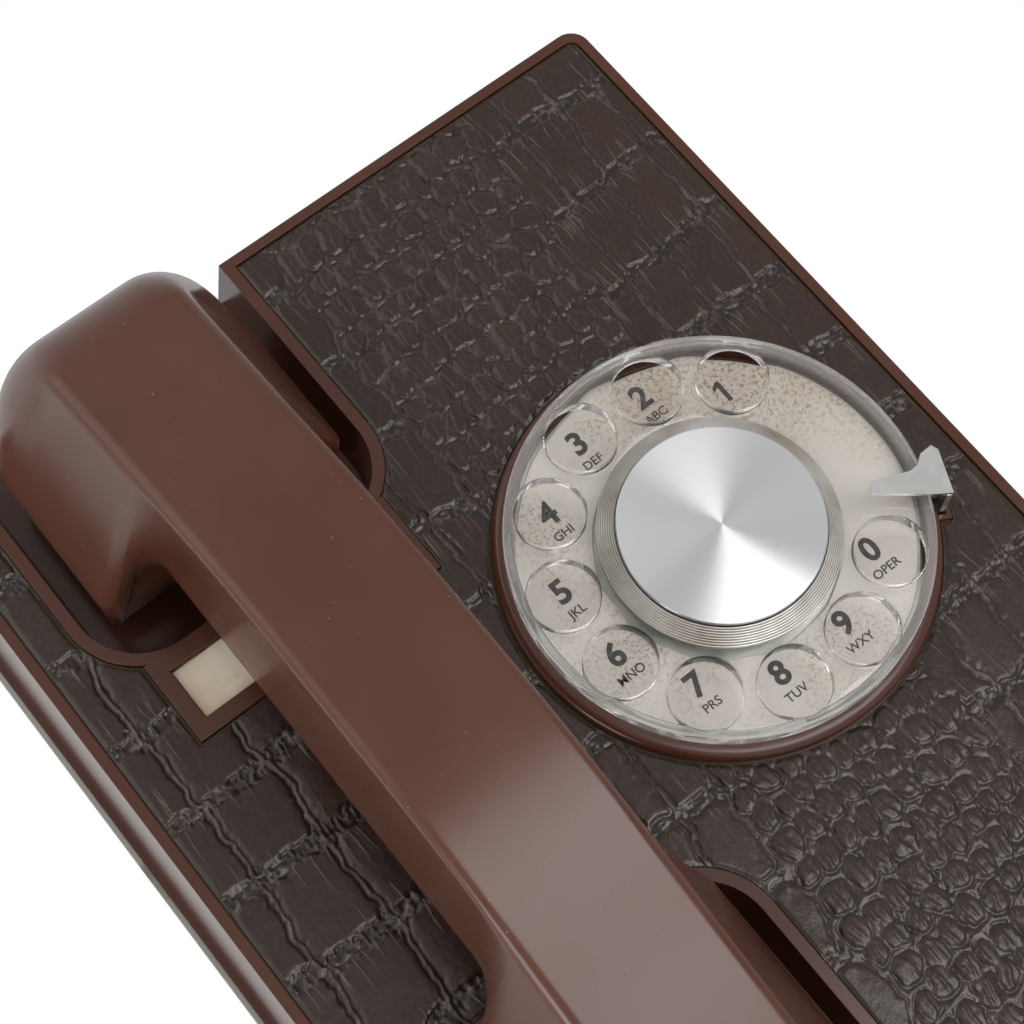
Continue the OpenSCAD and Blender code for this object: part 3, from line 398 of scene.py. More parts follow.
BANDS = (122, 106.5, 91, 73.5, 55, 37.5, 21, 4, -13, -31, -48, -65, -82, -99, -116)
OVALS_LEFT, OVALS_RIGHT = 0.5, 45
SMALL_W, SMALL_H, TALL = 4.5, 6.2, 9
NOISE_TILE = 97


def scale_seeds():
    """Middle, width and height of every scale: tall ones in columns, small ovals between."""
    rng = np.random.default_rng(11)
    kept = []
    for high, low in zip(BANDS, BANDS[1:]):
        mid, tall = (high + low) / 2, high - low
        lean = 0.085 * (mid - 50) if mid > 10 else -1.0
        right = [OVALS_RIGHT + lean, 51.3 + lean, 60.8 + lean, 70.6 + lean, 83]
        left = [-98, -84, -70, -56, -43, -29, -15, -7.5, OVALS_LEFT]
        for edges in (left, right):
            for x0, x1 in zip(edges, edges[1:]):
                x0, x1 = x0 + rng.uniform(-0.7, 0.7), x1 + rng.uniform(-0.7, 0.7)
                shift = 0.9 * math.sin(x0 / 13 + mid) + rng.uniform(-0.5, 0.5)
                kept.append(((x0 + x1) / 2, mid + shift, x1 - x0, tall))
        rows = max(2, round(tall / SMALL_H))
        for row in range(rows):
            z = high - tall * (row + 0.5) / rows
            x = OVALS_LEFT + SMALL_W * (0.5 if row % 2 else 0.2) + rng.uniform(-0.6, 0.6)
            stop = OVALS_RIGHT + lean
            while x < stop - 1:
                w = SMALL_W * rng.uniform(0.82, 1.22) * (1 + 0.35 * step((x - 34) / 12))
                if x + w > stop - 1.5:
                    w = stop - x
                tilt = 0.10 * (x - 22)
                kept.append((x + w / 2, z + tilt * 0.4 + rng.uniform(-0.9, 0.9), w,
                             tall / rows * rng.uniform(0.88, 1.12)))
                x += w
    return np.array(kept)


def value_noise(x, z, scale, seed):
    """Smooth noise from 0 to 1 on a tiled grid of random numbers, scale apart."""
    rng = np.random.default_rng(seed)
    n = NOISE_TILE
    table = rng.random((n, n))
    u, v = x / scale + 500, z / scale + 500
    i, j = np.floor(u).astype(int), np.floor(v).astype(int)
    fu, fv = step(u - i), step(v - j)
    a, b = table[i % n, j % n], table[(i + 1) % n, j % n]
    c, d = table[i % n, (j + 1) % n], table[(i + 1) % n, (j + 1) % n]
    return (a * (1 - fu) + b * fu) * (1 - fv) + (c * (1 - fu) + d * fu) * fv


def creases(x, z, seeds):
    """Distance to the side of the nearest long crease, and how strong that crease is there."""
    rng = np.random.default_rng(23)
    aside = np.full(x.shape, 1.0)
    strength = np.zeros(x.shape)
    for sx, sz, w, h in seeds[seeds[:, 3] > TALL]:
        for _ in range(rng.integers(4, 9)):
            down = 1 if rng.random() < 0.65 else -1
            start_x, start_z = sx + w * rng.uniform(-0.42, 0.42), sz + down * (h / 2 - 0.8)
            length, lean = rng.uniform(2.2, 9.5), rng.uniform(-0.12, 0.12)
            bend, power = rng.uniform(-0.7, 0.7), rng.uniform(0.4, 1.0)
            along = (start_z - z) * down / length
            near = np.flatnonzero((along > -0.05) & (along < 1) & (np.abs(x - start_x) < 4))
            t = along[near]
            d = x[near] - start_x - lean * length * t - bend * np.sin(2.6 * t)
            part = power * step((1 - t) / 0.6) * step((t + 0.05) / 0.1) * (np.abs(d) < 0.9)
            better = (np.abs(d) < np.abs(aside[near])) & (part > 0)
            aside[near[better]] = d[better]
            strength[near[better]] = part[better]
    return aside, strength


def relief(x, z):
    """Height of the embossing and what the leather's material needs at each point."""
    seeds = scale_seeds()
    wide_x, wide_z = value_noise(x, z, 8, 1) - 0.5, value_noise(x, z, 8, 3) - 0.5
    fine_x, fine_z = value_noise(x, z, 2.1, 2) - 0.5, value_noise(x, z, 2.1, 4) - 0.5
    tiny_x, tiny_z = value_noise(x, z, 0.9, 7) - 0.5, value_noise(x, z, 0.9, 10) - 0.5
    wx = x + 2.0 * wide_x + 0.9 * fine_x + 0.45 * tiny_x
    wz = z + 1.6 * wide_z + 1.1 * fine_z + 0.45 * tiny_z
    first = np.full(x.shape, 1e9)
    second = np.full(x.shape, 1e9)
    which = np.zeros(x.shape, int)
    for k, (sx, sz, w, h) in enumerate(seeds):
        near = np.flatnonzero((np.abs(wx - sx) < 1.25 * w) & (np.abs(wz - sz) < 1.25 * h))
        p = 2.2 if h < TALL else 7
        d = ((np.abs(wx[near] - sx) / w) ** p + (np.abs(wz[near] - sz) / h) ** p) ** (1 / p)
        closer = d < first[near]
        second[near] = np.where(closer, first[near], np.minimum(second[near], d))
        which[near] = np.where(closer, k, which[near])
        first[near] = np.where(closer, d, first[near])
    sx, sz, w, h = seeds[which].T
    second = np.minimum(second, first + 1)
    upright = np.abs(wx - sx) / w > np.abs(wz - sz) / h
    edge = (second - first) * np.where(upright, w, h) / 2
    big = h > TALL
    tone = (which * 0.618034) % 1
    knots = value_noise(x, z, 1.3, 5)
    # small ovals: a low dome with lengthwise folds, a groove round it (darkened by painted shade)
    # and a web between
    out = first / 0.5
    dome = np.sqrt(np.clip(1 - (out / 0.95) ** 3, 0, 1))
    across, up = 2 * (wx - sx) / w, np.clip(2 * (wz - sz) / h, -1, 1)
    across = across / (0.35 + 0.65 * np.sqrt(1 - up ** 2))
    folds = np.cos(math.pi * ((2.2 + 1.6 * tone) * across + 2 * tone)) * dome
    moat = np.exp(-((out - 0.98) / 0.12) ** 2) * (0.25 + 1.3 * knots)
    web = np.exp(-(edge / 0.30) ** 2)
    small = 0.26 * dome + 0.085 * folds - 0.24 * moat + 0.10 * web * step((out - 0.9) / 0.2)
    # large scales: knotted bands between the rows and seams between the columns
    thick = np.where(wx < -60, 1.0, 0.8)
    seam = np.exp(-(edge / 0.26) ** 2) * thick
    beside = np.exp(-((edge - 0.6) / 0.28) ** 2) * thick
    band = 1 - step((edge - 1.1) / 0.5)
    netting = np.exp(-((value_noise(x, z, 1.05, 14) - 0.5) / 0.10) ** 2)
    gutter = np.exp(-((edge - 1.35) / 0.34) ** 2) * (0.45 + 0.75 * knots)
    puckers = value_noise(x + 0.25 * wide_x, z * 0.2, 0.85, 6) - 0.5
    reach = np.where(upright, 0, 1 - step(edge / 4.0))
    level = np.where(upright, 0.15 * seam - 0.26 * beside,
                     (0.26 * netting - 0.28) * band - 0.20 * gutter)
    large = 0.14 * step(edge / 2.6) + level + 0.14 * reach * puckers
    large += 0.04 * (value_noise(x, z, 3.4, 8) - 0.5)
    height = np.where(big, large, small) + 0.025 * (value_noise(x, z, 0.9, 12) - 0.5)
    # where the grooves lie; the material darkens these places as painted shade
    groove_shade = np.where(big, np.where(upright, beside, 0.6 * (band + gutter)), moat)
    ridge = np.where(big, np.where(upright, seam, band * netting), 0.5 * web)
    aside, strength = creases(x, z, seeds)
    strength = strength * big * step(edge / 0.5)
    return height + 0.05 * strength * np.exp(-(aside / 0.25) ** 2), {
        "groove_shade": np.clip(groove_shade, 0, 1), "ridge": np.clip(ridge, 0, 1), "tone": tone,
        "fold": np.where(big, 0, folds), "aside": aside, "strength": strength}


LEATHER_PITCH, ROLL_W, ROLL_DROP = 0.30, 0.9, 0.18


def inlay_grid():
    """Points over the inlay, those past its edge drawn in to it, and the quads between them."""
    pitch = LEATHER_PITCH
    xs = np.arange(-FACE_W / 2, FACE_W / 2 + pitch, pitch)
    zs = np.arange(-FACE_H / 2, FACE_H / 2 + pitch, pitch)
    gx, gz = np.meshgrid(xs, zs)
    inside = leather_distance(gx, gz) < 0
    cell = inside[:-1, :-1] | inside[1:, :-1] | inside[:-1, 1:] | inside[1:, 1:]
    number = np.arange(gx.size).reshape(gx.shape)
    quads = np.stack([number[:-1, :-1], number[:-1, 1:], number[1:, 1:], number[1:, :-1]],
                     -1)[cell]
    used, quads = np.unique(quads, return_inverse=True)
    x, z = gx.ravel()[used], gz.ravel()[used]
    for _ in range(4):
        d = np.maximum(leather_distance(x, z), 0)
        e = 0.05
        nx = (leather_distance(x + e, z) - leather_distance(x - e, z)) / (2 * e)
        nz = (leather_distance(x, z + e) - leather_distance(x, z - e)) / (2 * e)
        size = np.maximum(np.hypot(nx, nz), 0.3)
        x, z = x - d * nx / size, z - d * nz / size
    return x, z, quads.reshape(-1, 4)


def leather_material():
    look = Look("crocodile_leather", linear(52, 40, 36), 0.3)
    groove_shade, ridge = look.attribute("groove_shade"), look.attribute("ridge")
    base = look.mix(look.attribute("tone"), linear(47, 32, 26), linear(55, 38, 31))
    base = look.mix(look.span(look.noise(60, 5), 0.35, 0.7, 0, 0.5), base, linear(41, 28, 23))
    grain = look.noise(1500, 3, 0.65)
    base = look.mix(look.span(grain, 0.50, 0.72, 0, 0.35), base, linear(92, 62, 50))
    # painted shade: the leather is darker in the grooves
    base = look.mix(look.sum(groove_shade, 0.8, "MULTIPLY"), base, linear(24, 17, 14))
    # painted highlight: pale tops of the seams and pale creases, glints painted on these ridges,
    # partly also wear
    worn = look.span(look.noise(190, 5, 0.7), 0.46, 0.60)
    aside = look.sum(look.attribute("aside"), 0, "ABSOLUTE")
    line = look.sum(look.span(aside, 0.02, 0.13, 1.0, 0.0), look.attribute("strength"),
                    "MULTIPLY")
    painted_pale = look.sum(look.sum(ridge, worn, "MULTIPLY"), 0.5, "MULTIPLY")
    painted_pale = look.sum(painted_pale, look.sum(line, 0.55, "MULTIPLY"), "MAXIMUM")
    base = look.mix(painted_pale, base, linear(136, 122, 112))
    base = look.mix(look.span(look.attribute("rim"), 0.45, 0.95), base, linear(70, 68, 50))
    look.paint(base)
    look.rough(look.span(look.noise(120, 4), 0.3, 0.7, 0.20, 0.32))
    look.bump(look.span(look.attribute("fold"), 0.3, 1.0), 0.00006, 0.5)
    look.bump(line, 0.00010, 0.7)
    look.bump(look.noise(420, 4, 0.6, 0.2, look.mapped((1, 1, 0.35))), 0.00012, 0.45)
    look.bump(look.noise(1900, 3, 0.6), 0.00007, 0.5)
    return look.material


def leather_piece():
    """The embossed face, rolled down at its edge, with a wall round it."""
    x, z, quads = inlay_grid()
    height, values = relief(x, z)
    inset = -leather_distance(x, z)
    roll = 1 - step(inset / ROLL_W)
    h = LEATHER_TOP + height * (1 - 0.6 * roll) - ROLL_DROP * roll
    points = np.stack([x, -h, z], 1) / 1000
    mesh = bpy.data.meshes.new("leather_relief")
    mesh.from_pydata(points.tolist(), [], quads.tolist())
    values["rim"] = roll
    for name, value in values.items():
        layer = mesh.attributes.new(name, "FLOAT", "POINT")
        layer.data.foreach_set("value", value.astype(np.float32))
    bm = bmesh.new()
    bm.from_mesh(mesh)
    rim = [e for e in bm.edges if e.is_boundary]
    made = bmesh.ops.extrude_edge_only(bm, edges=rim)["geom"]
    for v in made:
        if isinstance(v, bmesh.types.BMVert):
            v.co.y = -LEATHER_LOW / 1000
    bm.to_mesh(mesh)
    bm.free()
    mesh.shade_smooth()
    piece = bpy.data.objects.new("leather_relief", mesh)
    scene.collection.objects.link(piece)
    mesh.materials.append(leather_material())
    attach(piece, "phone")
    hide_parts("leather_panel")


leather_piece()

# ---------- Number card ----------

card_look = Look("card_paper", linear(240, 226, 206), 0.7)
card_tone = card_look.mix(card_look.span(card_look.noise(70, 5), 0.4, 0.7), linear(243, 230, 210),
                          linear(226, 206, 178))
card_look.paint(card_look.mix(card_look.ramp(card_look.noise(160, 5), (0.55, 0.0), (0.7, 0.6)),
                              card_tone, linear(196, 164, 122)))
dress(NODES["number_card"].data, card_look.material)


def clear_plastic(name, tint, haze, mixing):
    """Clear plastic that bends what is seen through it and lets light and shadow rays pass."""
    look = Look(name, tint, haze, IOR=1.47, Transmission_Weight=1.0)
    thin = look.node("BsdfTransparent")
    thin.inputs["Color"].default_value = tint
    path = look.node("LightPath").outputs
    passing = look.sum(path["Is Shadow Ray"], path["Is Diffuse Ray"], "MAXIMUM")
    both = look.node("MixShader")
    look.put(both.inputs["Fac"], look.span(passing, 0, 1, mixing, 0.0))
    look.tree.links.new(thin.outputs[0], both.inputs[1])
    look.tree.links.new(look.shader.outputs[0], both.inputs[2])
    look.tree.links.new(both.outputs[0], look.tree.nodes["Material Output"].inputs["Surface"])
    look.rough(look.span(look.noise(55, 5), 0.35, 0.75, haze, haze + 0.03))
    look.bump(look.noise(260, 3), 0.00001, 0.15)
    return look


def dial_radius(look):
    """Distance from the dial's axis, in metres."""
    way = look.node("SeparateXYZ")
    look.put(way.inputs[0], look.mapped(move=TO_DIAL))
    reach = look.sum(look.sum(way.outputs[0], 2.0, "POWER"),
                     look.sum(way.outputs[2], 2.0, "POWER"))
    return look.sum(reach, 0.5, "POWER")


def painted_rim_reflection(look, start, end, share):
    """Paints a pale diffuse band into clear plastic towards its rim as painted reflection; start
    and end are radii about the dial.
    """
    painted_pale = look.node("BsdfDiffuse")
    painted_pale.inputs["Color"].default_value = (0.86, 0.86, 0.84, 1)
    both = look.node("MixShader")
    output = look.tree.nodes["Material Output"].inputs["Surface"]
    look.put(both.inputs["Fac"], look.span(dial_radius(look), start / 1000, end / 1000,
                                           0.0, share))
    look.tree.links.new(output.links[0].from_socket, both.inputs[1])
    look.tree.links.new(painted_pale.outputs[0], both.inputs[2])
    look.tree.links.new(both.outputs[0], output)


clear_window = clear_plastic("clear_window", (0.99, 0.985, 0.975, 1), 0.04, 0.12).material
wheel_look = clear_plastic("clear_wheel", (0.995, 0.995, 0.99, 1), 0.01, 0.9)
# painted reflection: a pale band in the wheel towards its rim
painted_rim_reflection(wheel_look, 35.4, 36.6, 0.11)
clear_wheel = wheel_look.material
dress(NODES["card_window"].data, clear_window)

# ---------- Lathe ----------


def lathe(name, profile, x, z, material, body, steps):
    """Solid of revolution about the h axis through (x, z); profile is (radius, h) pairs."""
    points, faces = [], []
    count = len(profile)
    for i in range(steps):
        a = 2 * math.pi * i / steps
        for r, h in profile:
            points.append(at(x + max(r, 0.02) * math.cos(a), z + max(r, 0.02) * math.sin(a), h))
    for i in range(steps):
        j = (i + 1) % steps
        for k in range(count):
            n = (k + 1) % count
            faces.append((i * count + k, i * count + n, j * count + n, j * count + k))
    piece = new_mesh(name, points, faces, material)
    normals_out(piece)
    piece.data.set_sharp_from_angle(angle=math.radians(35))
    if body:
        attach(piece, body)
    return piece


# ---------- Dial ----------

WHEEL_TOP, WHEEL_LOW, WHEEL_R = 40.0, 37.0, 38.1
HUB_TOP, HUB_R, DISC_R = 42.6, 21.5, 18.6
HOLE_R, HOLE_RING_R, HOLE_FLARE = 6.5, 30.0, 0.45
HOLE_ANGLES = [math.radians(45 + 30 * i) for i in range(10)]


def arc(r, h, radius, start, end, steps=4):
    """Points of an arc in a lathe profile, from start to end in degrees."""
    return [(r + radius * math.cos(math.radians(mix(start, end, i / steps))),
             h + radius * math.sin(math.radians(mix(start, end, i / steps))))
            for i in range(steps + 1)]


def ridges(top, foot, count, depth):
    """Profile of fine steps that go down a cone from (r, h) at the top to (r, h) at the foot."""
    width = (foot[0] - top[0]) / count
    out = []
    for i in range(count):
        r, h = (mix(foot[k], top[k], i / count) for k in (0, 1))
        out += [(r, h - depth), (r - 0.2 * width, h), (r - 0.6 * width, h + 0.3 * depth),
                (r - 0.8 * width, h - 0.6 * depth)]
    return out


def cut_holes(piece):
    """Cuts the finger holes, their edges rounded by a cutter that flares at both ends."""
    low, top, flare = WHEEL_LOW - 0.3, WHEEL_TOP + 0.3, HOLE_FLARE + 0.3
    side = [(HOLE_R + flare, low - 1)]
    side += [(HOLE_R + flare - flare * math.sin(a), low + flare * (1 - math.cos(a)))
             for a in span(0, math.pi / 2, 5)]
    side += [(HOLE_R + flare - flare * math.cos(a), top - flare * (1 - math.sin(a)))
             for a in span(0, math.pi / 2, 5)]
    side += [(HOLE_R + flare, top + 1), (0, top + 1), (0, low - 1)]
    for a in HOLE_ANGLES:
        cutter = lathe("cutter", side, DIAL_X + HOLE_RING_R * math.cos(a),
                       DIAL_Z + HOLE_RING_R * math.sin(a), None, None, 72)
        cut = piece.modifiers.new("hole", "BOOLEAN")
        cut.operation = "DIFFERENCE"
        cut.solver = "EXACT"
        cut.object = cutter
    made = evaluated(piece)
    for cut in list(piece.modifiers):
        bpy.data.objects.remove(cut.object)
    piece.modifiers.clear()
    piece.data = made
    made.shade_smooth()
    made.set_sharp_from_angle(angle=math.radians(35))


wheel_profile = (
    [(19.0, WHEEL_LOW)] + arc(WHEEL_R - 0.5, WHEEL_LOW + 0.5, 0.5, -90, 0)
    + arc(WHEEL_R - 0.5, WHEEL_TOP - 0.2, 0.5, 0, 90)
    + arc(WHEEL_R - 1.3, WHEEL_TOP - 0.2, 0.5, 90, 160)
    + [(WHEEL_R - 1.9, WHEEL_TOP), (HUB_R + 0.6, WHEEL_TOP), (HUB_R, WHEEL_TOP - 0.3),
       (19.0, WHEEL_TOP - 0.3)])
wheel = lathe("finger_wheel_clear", wheel_profile, DIAL_X, DIAL_Z, clear_wheel, "dial", 160)
cut_holes(wheel)
ring_look = Look("ribbed_ring", (0.8, 0.79, 0.76, 1), 0.34, 0.7)
ring_grime = ring_look.span(ring_look.noise(90, 5), 0.35, 0.7, 0.1, 0.8)
ring_look.paint(ring_look.mix(ring_grime, (0.72, 0.71, 0.68, 1), linear(150, 136, 118)))
ring = lathe("finger_wheel_hub",
             [(18.7, WHEEL_TOP - 0.3), (HUB_R + 0.3, WHEEL_TOP - 0.3)]
             + ridges((DISC_R + 0.1, HUB_TOP - 0.05), (HUB_R + 0.3, WHEEL_TOP + 0.35), 8, 0.08)
             + [(DISC_R + 0.1, HUB_TOP - 0.4)],
             DIAL_X, DIAL_Z, ring_look.material, "dial", 160)
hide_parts("finger_wheel")

disc_look = Look("spun_aluminium", (0.86, 0.865, 0.87, 1), 0.3, 1.0, Anisotropic=0.9,
                 Anisotropic_Rotation=0.25)
tangent = disc_look.node("Tangent")
tangent.direction_type = "RADIAL"
tangent.axis = "Y"
disc_look.put(disc_look.shader.inputs["Tangent"], tangent.outputs[0])
join = disc_look.node("CombineXYZ")
disc_look.put(join.inputs[0], dial_radius(disc_look))
rings = disc_look.noise(5200, 3, 0.6, 0, join.outputs[0])
disc_look.rough(disc_look.span(rings, 0.3, 0.7, 0.26, 0.36))
disc_look.bump(rings, 0.000004, 0.12)
disc = lathe("center_disc_spun", [(0, 42.46), (18.3, 42.46), (18.55, 42.55), (18.55, 43.0),
                                  (18.4, 43.2), (18.1, 43.25), (0, 43.25)],
             DIAL_X, DIAL_Z, disc_look.material, "dial", 160)
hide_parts("center_disc")

plate_look = Look("silver_plate", linear(206, 200, 192), 0.42, 0.2)
plate_look.where = plate_look.mapped(move=TO_DIAL)
plate_way = plate_look.node("SeparateXYZ")
plate_look.put(plate_way.inputs[0], plate_look.where)
# Dust has gathered to the upper right, and in speckles all round
across = plate_look.sum(plate_way.outputs[0], plate_way.outputs[2], "ADD")
gathered = plate_look.span(across, 0.018, 0.045)
stain = plate_look.ramp(plate_look.noise(55, 7, 0.62, 0.6), (0.50, 0.0), (0.72, 0.85))
speck = plate_look.ramp(plate_look.noise(1100, 5, 0.85), (0.49, 0.0), (0.60, 1.0))
patches = plate_look.span(plate_look.noise(30, 4), 0.42, 0.56)
grime = plate_look.sum(plate_look.sum(speck, patches, "MULTIPLY"),
                       plate_look.sum(stain, 0.4, "MULTIPLY"), "MAXIMUM")
grime = plate_look.sum(grime, plate_look.sum(gathered, 0.35, "MULTIPLY"), "ADD")
plate_look.paint(plate_look.mix(plate_look.sum(grime, 0.8, "MULTIPLY"), linear(208, 201, 193),
                                linear(138, 116, 88)))
plate_look.rough(plate_look.span(grime, 0, 1, 0.34, 0.6))
plate_look.bump(plate_look.noise(700, 3), 0.00002, 0.3)
PLATE_LOW, PLATE_TOP, PLATE_R, PLATE_HOLE, PLATE_EDGE = 34.0, 34.6, 35.6, 22.6, 0.1
plate = lathe("number_plate_face",
              [(PLATE_HOLE, PLATE_LOW), (PLATE_R, PLATE_LOW),
               (PLATE_R, PLATE_TOP - PLATE_EDGE), (PLATE_R - PLATE_EDGE, PLATE_TOP),
               (PLATE_HOLE + PLATE_EDGE, PLATE_TOP), (PLATE_HOLE, PLATE_TOP - PLATE_EDGE)],
              DIAL_X, DIAL_Z, plate_look.material, "phone", 192)
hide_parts("number_plate")

ink_look = Look("dial_ink", linear(62, 62, 60), 0.5)
ink_look.paint(ink_look.mix(ink_look.span(ink_look.noise(600, 4), 0.4, 0.7), linear(58, 58, 57),
                            linear(84, 82, 76)))
ink = ink_look.material
INK_LOW, INK_TOP = 0.01, 0.05
CAPITAL = 0.73
LABELS = (("1", ""), ("2", "ABC"), ("3", "DEF"), ("4", "GHI"), ("5", "JKL"), ("6", "MNO"),
          ("7", "PRS"), ("8", "TUV"), ("9", "WXY"), ("0", "OPER"))


def lettering(name, text, x, z, height, weight):
    """Flat letters on the number plate."""
    data = bpy.data.curves.new(name, "FONT")
    data.body = text
    data.size = height / 1000 / CAPITAL
    data.offset = weight / 1000
    data.extrude = (INK_TOP - INK_LOW) / 2000
    data.align_x = "CENTER"
    data.align_y = "CENTER"
    data.resolution_u = 4
    made = bpy.data.objects.new(name, data)
    scene.collection.objects.link(made)
    made.matrix_world = (Matrix.Translation(at(x, z, PLATE_TOP + (INK_LOW + INK_TOP) / 2))
                         @ Matrix.Rotation(math.pi / 2, 4, "X"))
    mesh = evaluated(made)
    mesh.transform(made.matrix_world)
    bpy.data.objects.remove(made)
    dress(mesh, ink)
    piece = bpy.data.objects.new(name, mesh)
    scene.collection.objects.link(piece)
    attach(piece, "phone")


LABEL_R = 28.65
DIGIT_UP, DIGIT_H, DIGIT_WEIGHT = 2.2, 4.6, 0.2
LETTERS_DOWN, LETTERS_H, LETTERS_WEIGHT = 2.2, 1.75, 0.03
ONE = ((-0.08, -2.3), (0.82, -2.3), (0.82, 2.3), (0.1, 2.3), (-1.05, 1.5), (-1.05, 0.7),
       (-0.08, 1.25))


def digit_one(x, z):
    """The figure 1, drawn with a flag."""
    n = len(ONE)
    points = [at(x + u, z + v, PLATE_TOP + h) for h in (INK_LOW, INK_TOP) for u, v in ONE]
    faces = [tuple(range(n)), tuple(range(n, 2 * n))]
    faces += [(i, (i + 1) % n, n + (i + 1) % n, n + i) for i in range(n)]
    piece = new_mesh("digit_1", points, faces, ink, False)
    normals_out(piece)
    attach(piece, "phone")


for a, (digit, letters) in zip(HOLE_ANGLES, LABELS):
    x, z = DIAL_X + LABEL_R * math.cos(a), DIAL_Z + LABEL_R * math.sin(a)
    if letters:
        lettering("digit_%s" % digit, digit, x, z + DIGIT_UP, DIGIT_H, DIGIT_WEIGHT)
        lettering("letters_%s" % digit, letters, x, z - LETTERS_DOWN, LETTERS_H,
                  LETTERS_WEIGHT)
    else:
        digit_one(x - 0.5, z + 1.4)

# ---------- Handset ----------

CUP, GRIP, RIDGE = 25.8, 14.4, 13.4
HS_END, END_R, END_LEAN, FACET_R = 95.0, 13.0, 12.0, 6.0
EAR_IN, MOUTH_IN, EAR_FILLET, MOUTH_FILLET, MOUTH_FILLET_Y = 52.0, 48.3, 4.5, 10.0, 35.5
CUP_R, FLAT_MID, FLAT, BEND, SLOPE, SWELL = 3.0, 0.5, 24.5, 24.0, 0.224, 4.4
EAR_FAN, MOUTH_FAN, FAN_CORNER = (46.0, 28.0), (42.0, 31.0), 2.0
CROWN, SEAM_CUP, SEAM_GRIP = 86.5, 38.5, 51.0


def crown(y):
    """Height of the crown: flat in the middle, then bent into a straight slope."""
    u = abs(y - FLAT_MID) - FLAT + BEND / 2
    return CROWN - SLOPE * (max(u, 0) ** 2 / 2 / BEND if u < BEND else u - BEND / 2)


def grip_part(x):
    """0 at the cups' width, 1 at the handle's."""
    return float(step((CUP - x) / (CUP - GRIP)))


def end_station(a, s, d):
    """Seam x, y; ridge x, y; how much is handle; and the way that the end swells."""
    c, v = math.cos(a), math.sin(a)
    return (CUP - END_R + (END_R - d) * c, s * (HS_END - END_R + (END_R - d) * v),
            RIDGE - FACET_R + FACET_R * c, s * (HS_END - END_LEAN - FACET_R + FACET_R * v),
            0, v * c, s * v * v)


def cup_corner(t, s, y, d, ridge_y, most):
    a = t * math.radians(most)
    r = max(CUP_R - d, 0.2)
    return (CUP - d - r + r * math.cos(a), s * (y + d + r - r * math.sin(a)), RIDGE,
            s * ridge_y, grip_part(CUP - CUP_R + CUP_R * math.cos(a)), 0, 0)


def fillet(t, s, y, r, d, ridge_y, most):
    a = t * math.radians(most)
    return (GRIP + r - (r + d) * math.cos(a), s * (y + (r + d) * math.sin(a)), RIDGE,
            s * ridge_y, grip_part(GRIP + r - r * math.cos(a)), 0, 0)


def handle_station(y, d):
    up = y > FLAT_MID
    end = EAR_IN - EAR_FILLET if up else -MOUTH_FILLET_Y
    gap = end - EAR_FAN[1] if up else end + MOUTH_FAN[1]
    return (GRIP - d, y, RIDGE, y - gap * ((y - FLAT_MID) / (end - FLAT_MID)) ** 2, 1, 0, 0)


def stations(d):
    end_y = HS_END - END_R
    ridge_end = HS_END - END_LEAN - FACET_R
    out = [end_station(a, 1, d) for a in span(math.pi / 2, 0, 16)]
    out += [(CUP - d, mix(end_y, EAR_IN + CUP_R, t), RIDGE, mix(ridge_end, EAR_IN + CUP_R, t),
             0, 0, 0) for t in span(0, 1, 8)[1:-1]]
    out += [cup_corner(t, 1, EAR_IN, d, mix(EAR_IN + CUP_R, EAR_IN - FAN_CORNER, t), 82)
            for t in span(0, 1, 9)]
    out += [fillet(t, 1, EAR_IN - EAR_FILLET, EAR_FILLET, d, mix(EAR_FAN[1], EAR_FAN[0], t), 82)
            for t in span(1, 0, 12)]
    out += [handle_station(y, d) for y in span(EAR_IN - EAR_FILLET, -MOUTH_FILLET_Y, 32)[1:-1]]
    out += [fillet(t, -1, MOUTH_FILLET_Y, MOUTH_FILLET, d, mix(MOUTH_FAN[1], MOUTH_FAN[0], t),
                   75) for t in span(0, 1, 12)]
    out += [cup_corner(t, -1, MOUTH_IN - CUP_R, d, mix(MOUTH_IN, MOUTH_IN - CUP_R - FAN_CORNER,
                                                      t), 75) for t in span(1, 0, 8)]
    out += [(CUP - d, -mix(MOUTH_IN, end_y, t), RIDGE, -mix(MOUTH_IN, ridge_end, t), 0, 0, 0)
            for t in span(0, 1, 9)[1:-1]]
    out += [end_station(a, -1, d) for a in span(0, math.pi / 2, 16)]
    return out


def mirrored(points):
    return points + [(-x, y, h) for x, y, h in reversed(points)]


def seam_height(k):
    return SEAM_CUP + k * (SEAM_GRIP - SEAM_CUP)


def seam_ring(d, up=0.0):
    return mirrored([(s[0], s[1], seam_height(s[4]) + up) for s in stations(d)])


def ridge_ring(d, drop, d_end, drop_end):
    """Ring along the ridge, set in and down by its own amounts on the sides and at the ends."""
    out = []
    for s in stations(0):
        w = math.hypot(s[5], s[6])
        x = s[2] - d * (s[5] / w if w else 1)
        y = s[3] - (d_end * s[6] / w if w else 0)
        out.append((x, y, crown(y) - mix(drop, drop_end, w)))
    return mirrored(out)


def side_ring(t, t_end):
    """Ring on the side, part of the way from seam to ridge."""
    out = []
    for s in stations(0):
        u = mix(t, t_end, math.hypot(s[5], s[6]))
        swell = 4 * u * (1 - u) * SWELL
        out.append((mix(s[0], s[2], u) + swell * s[5], mix(s[1], s[3], u) + swell * s[6],
                    mix(seam_height(s[4]), crown(s[3]), u)))
    return mirrored(out)


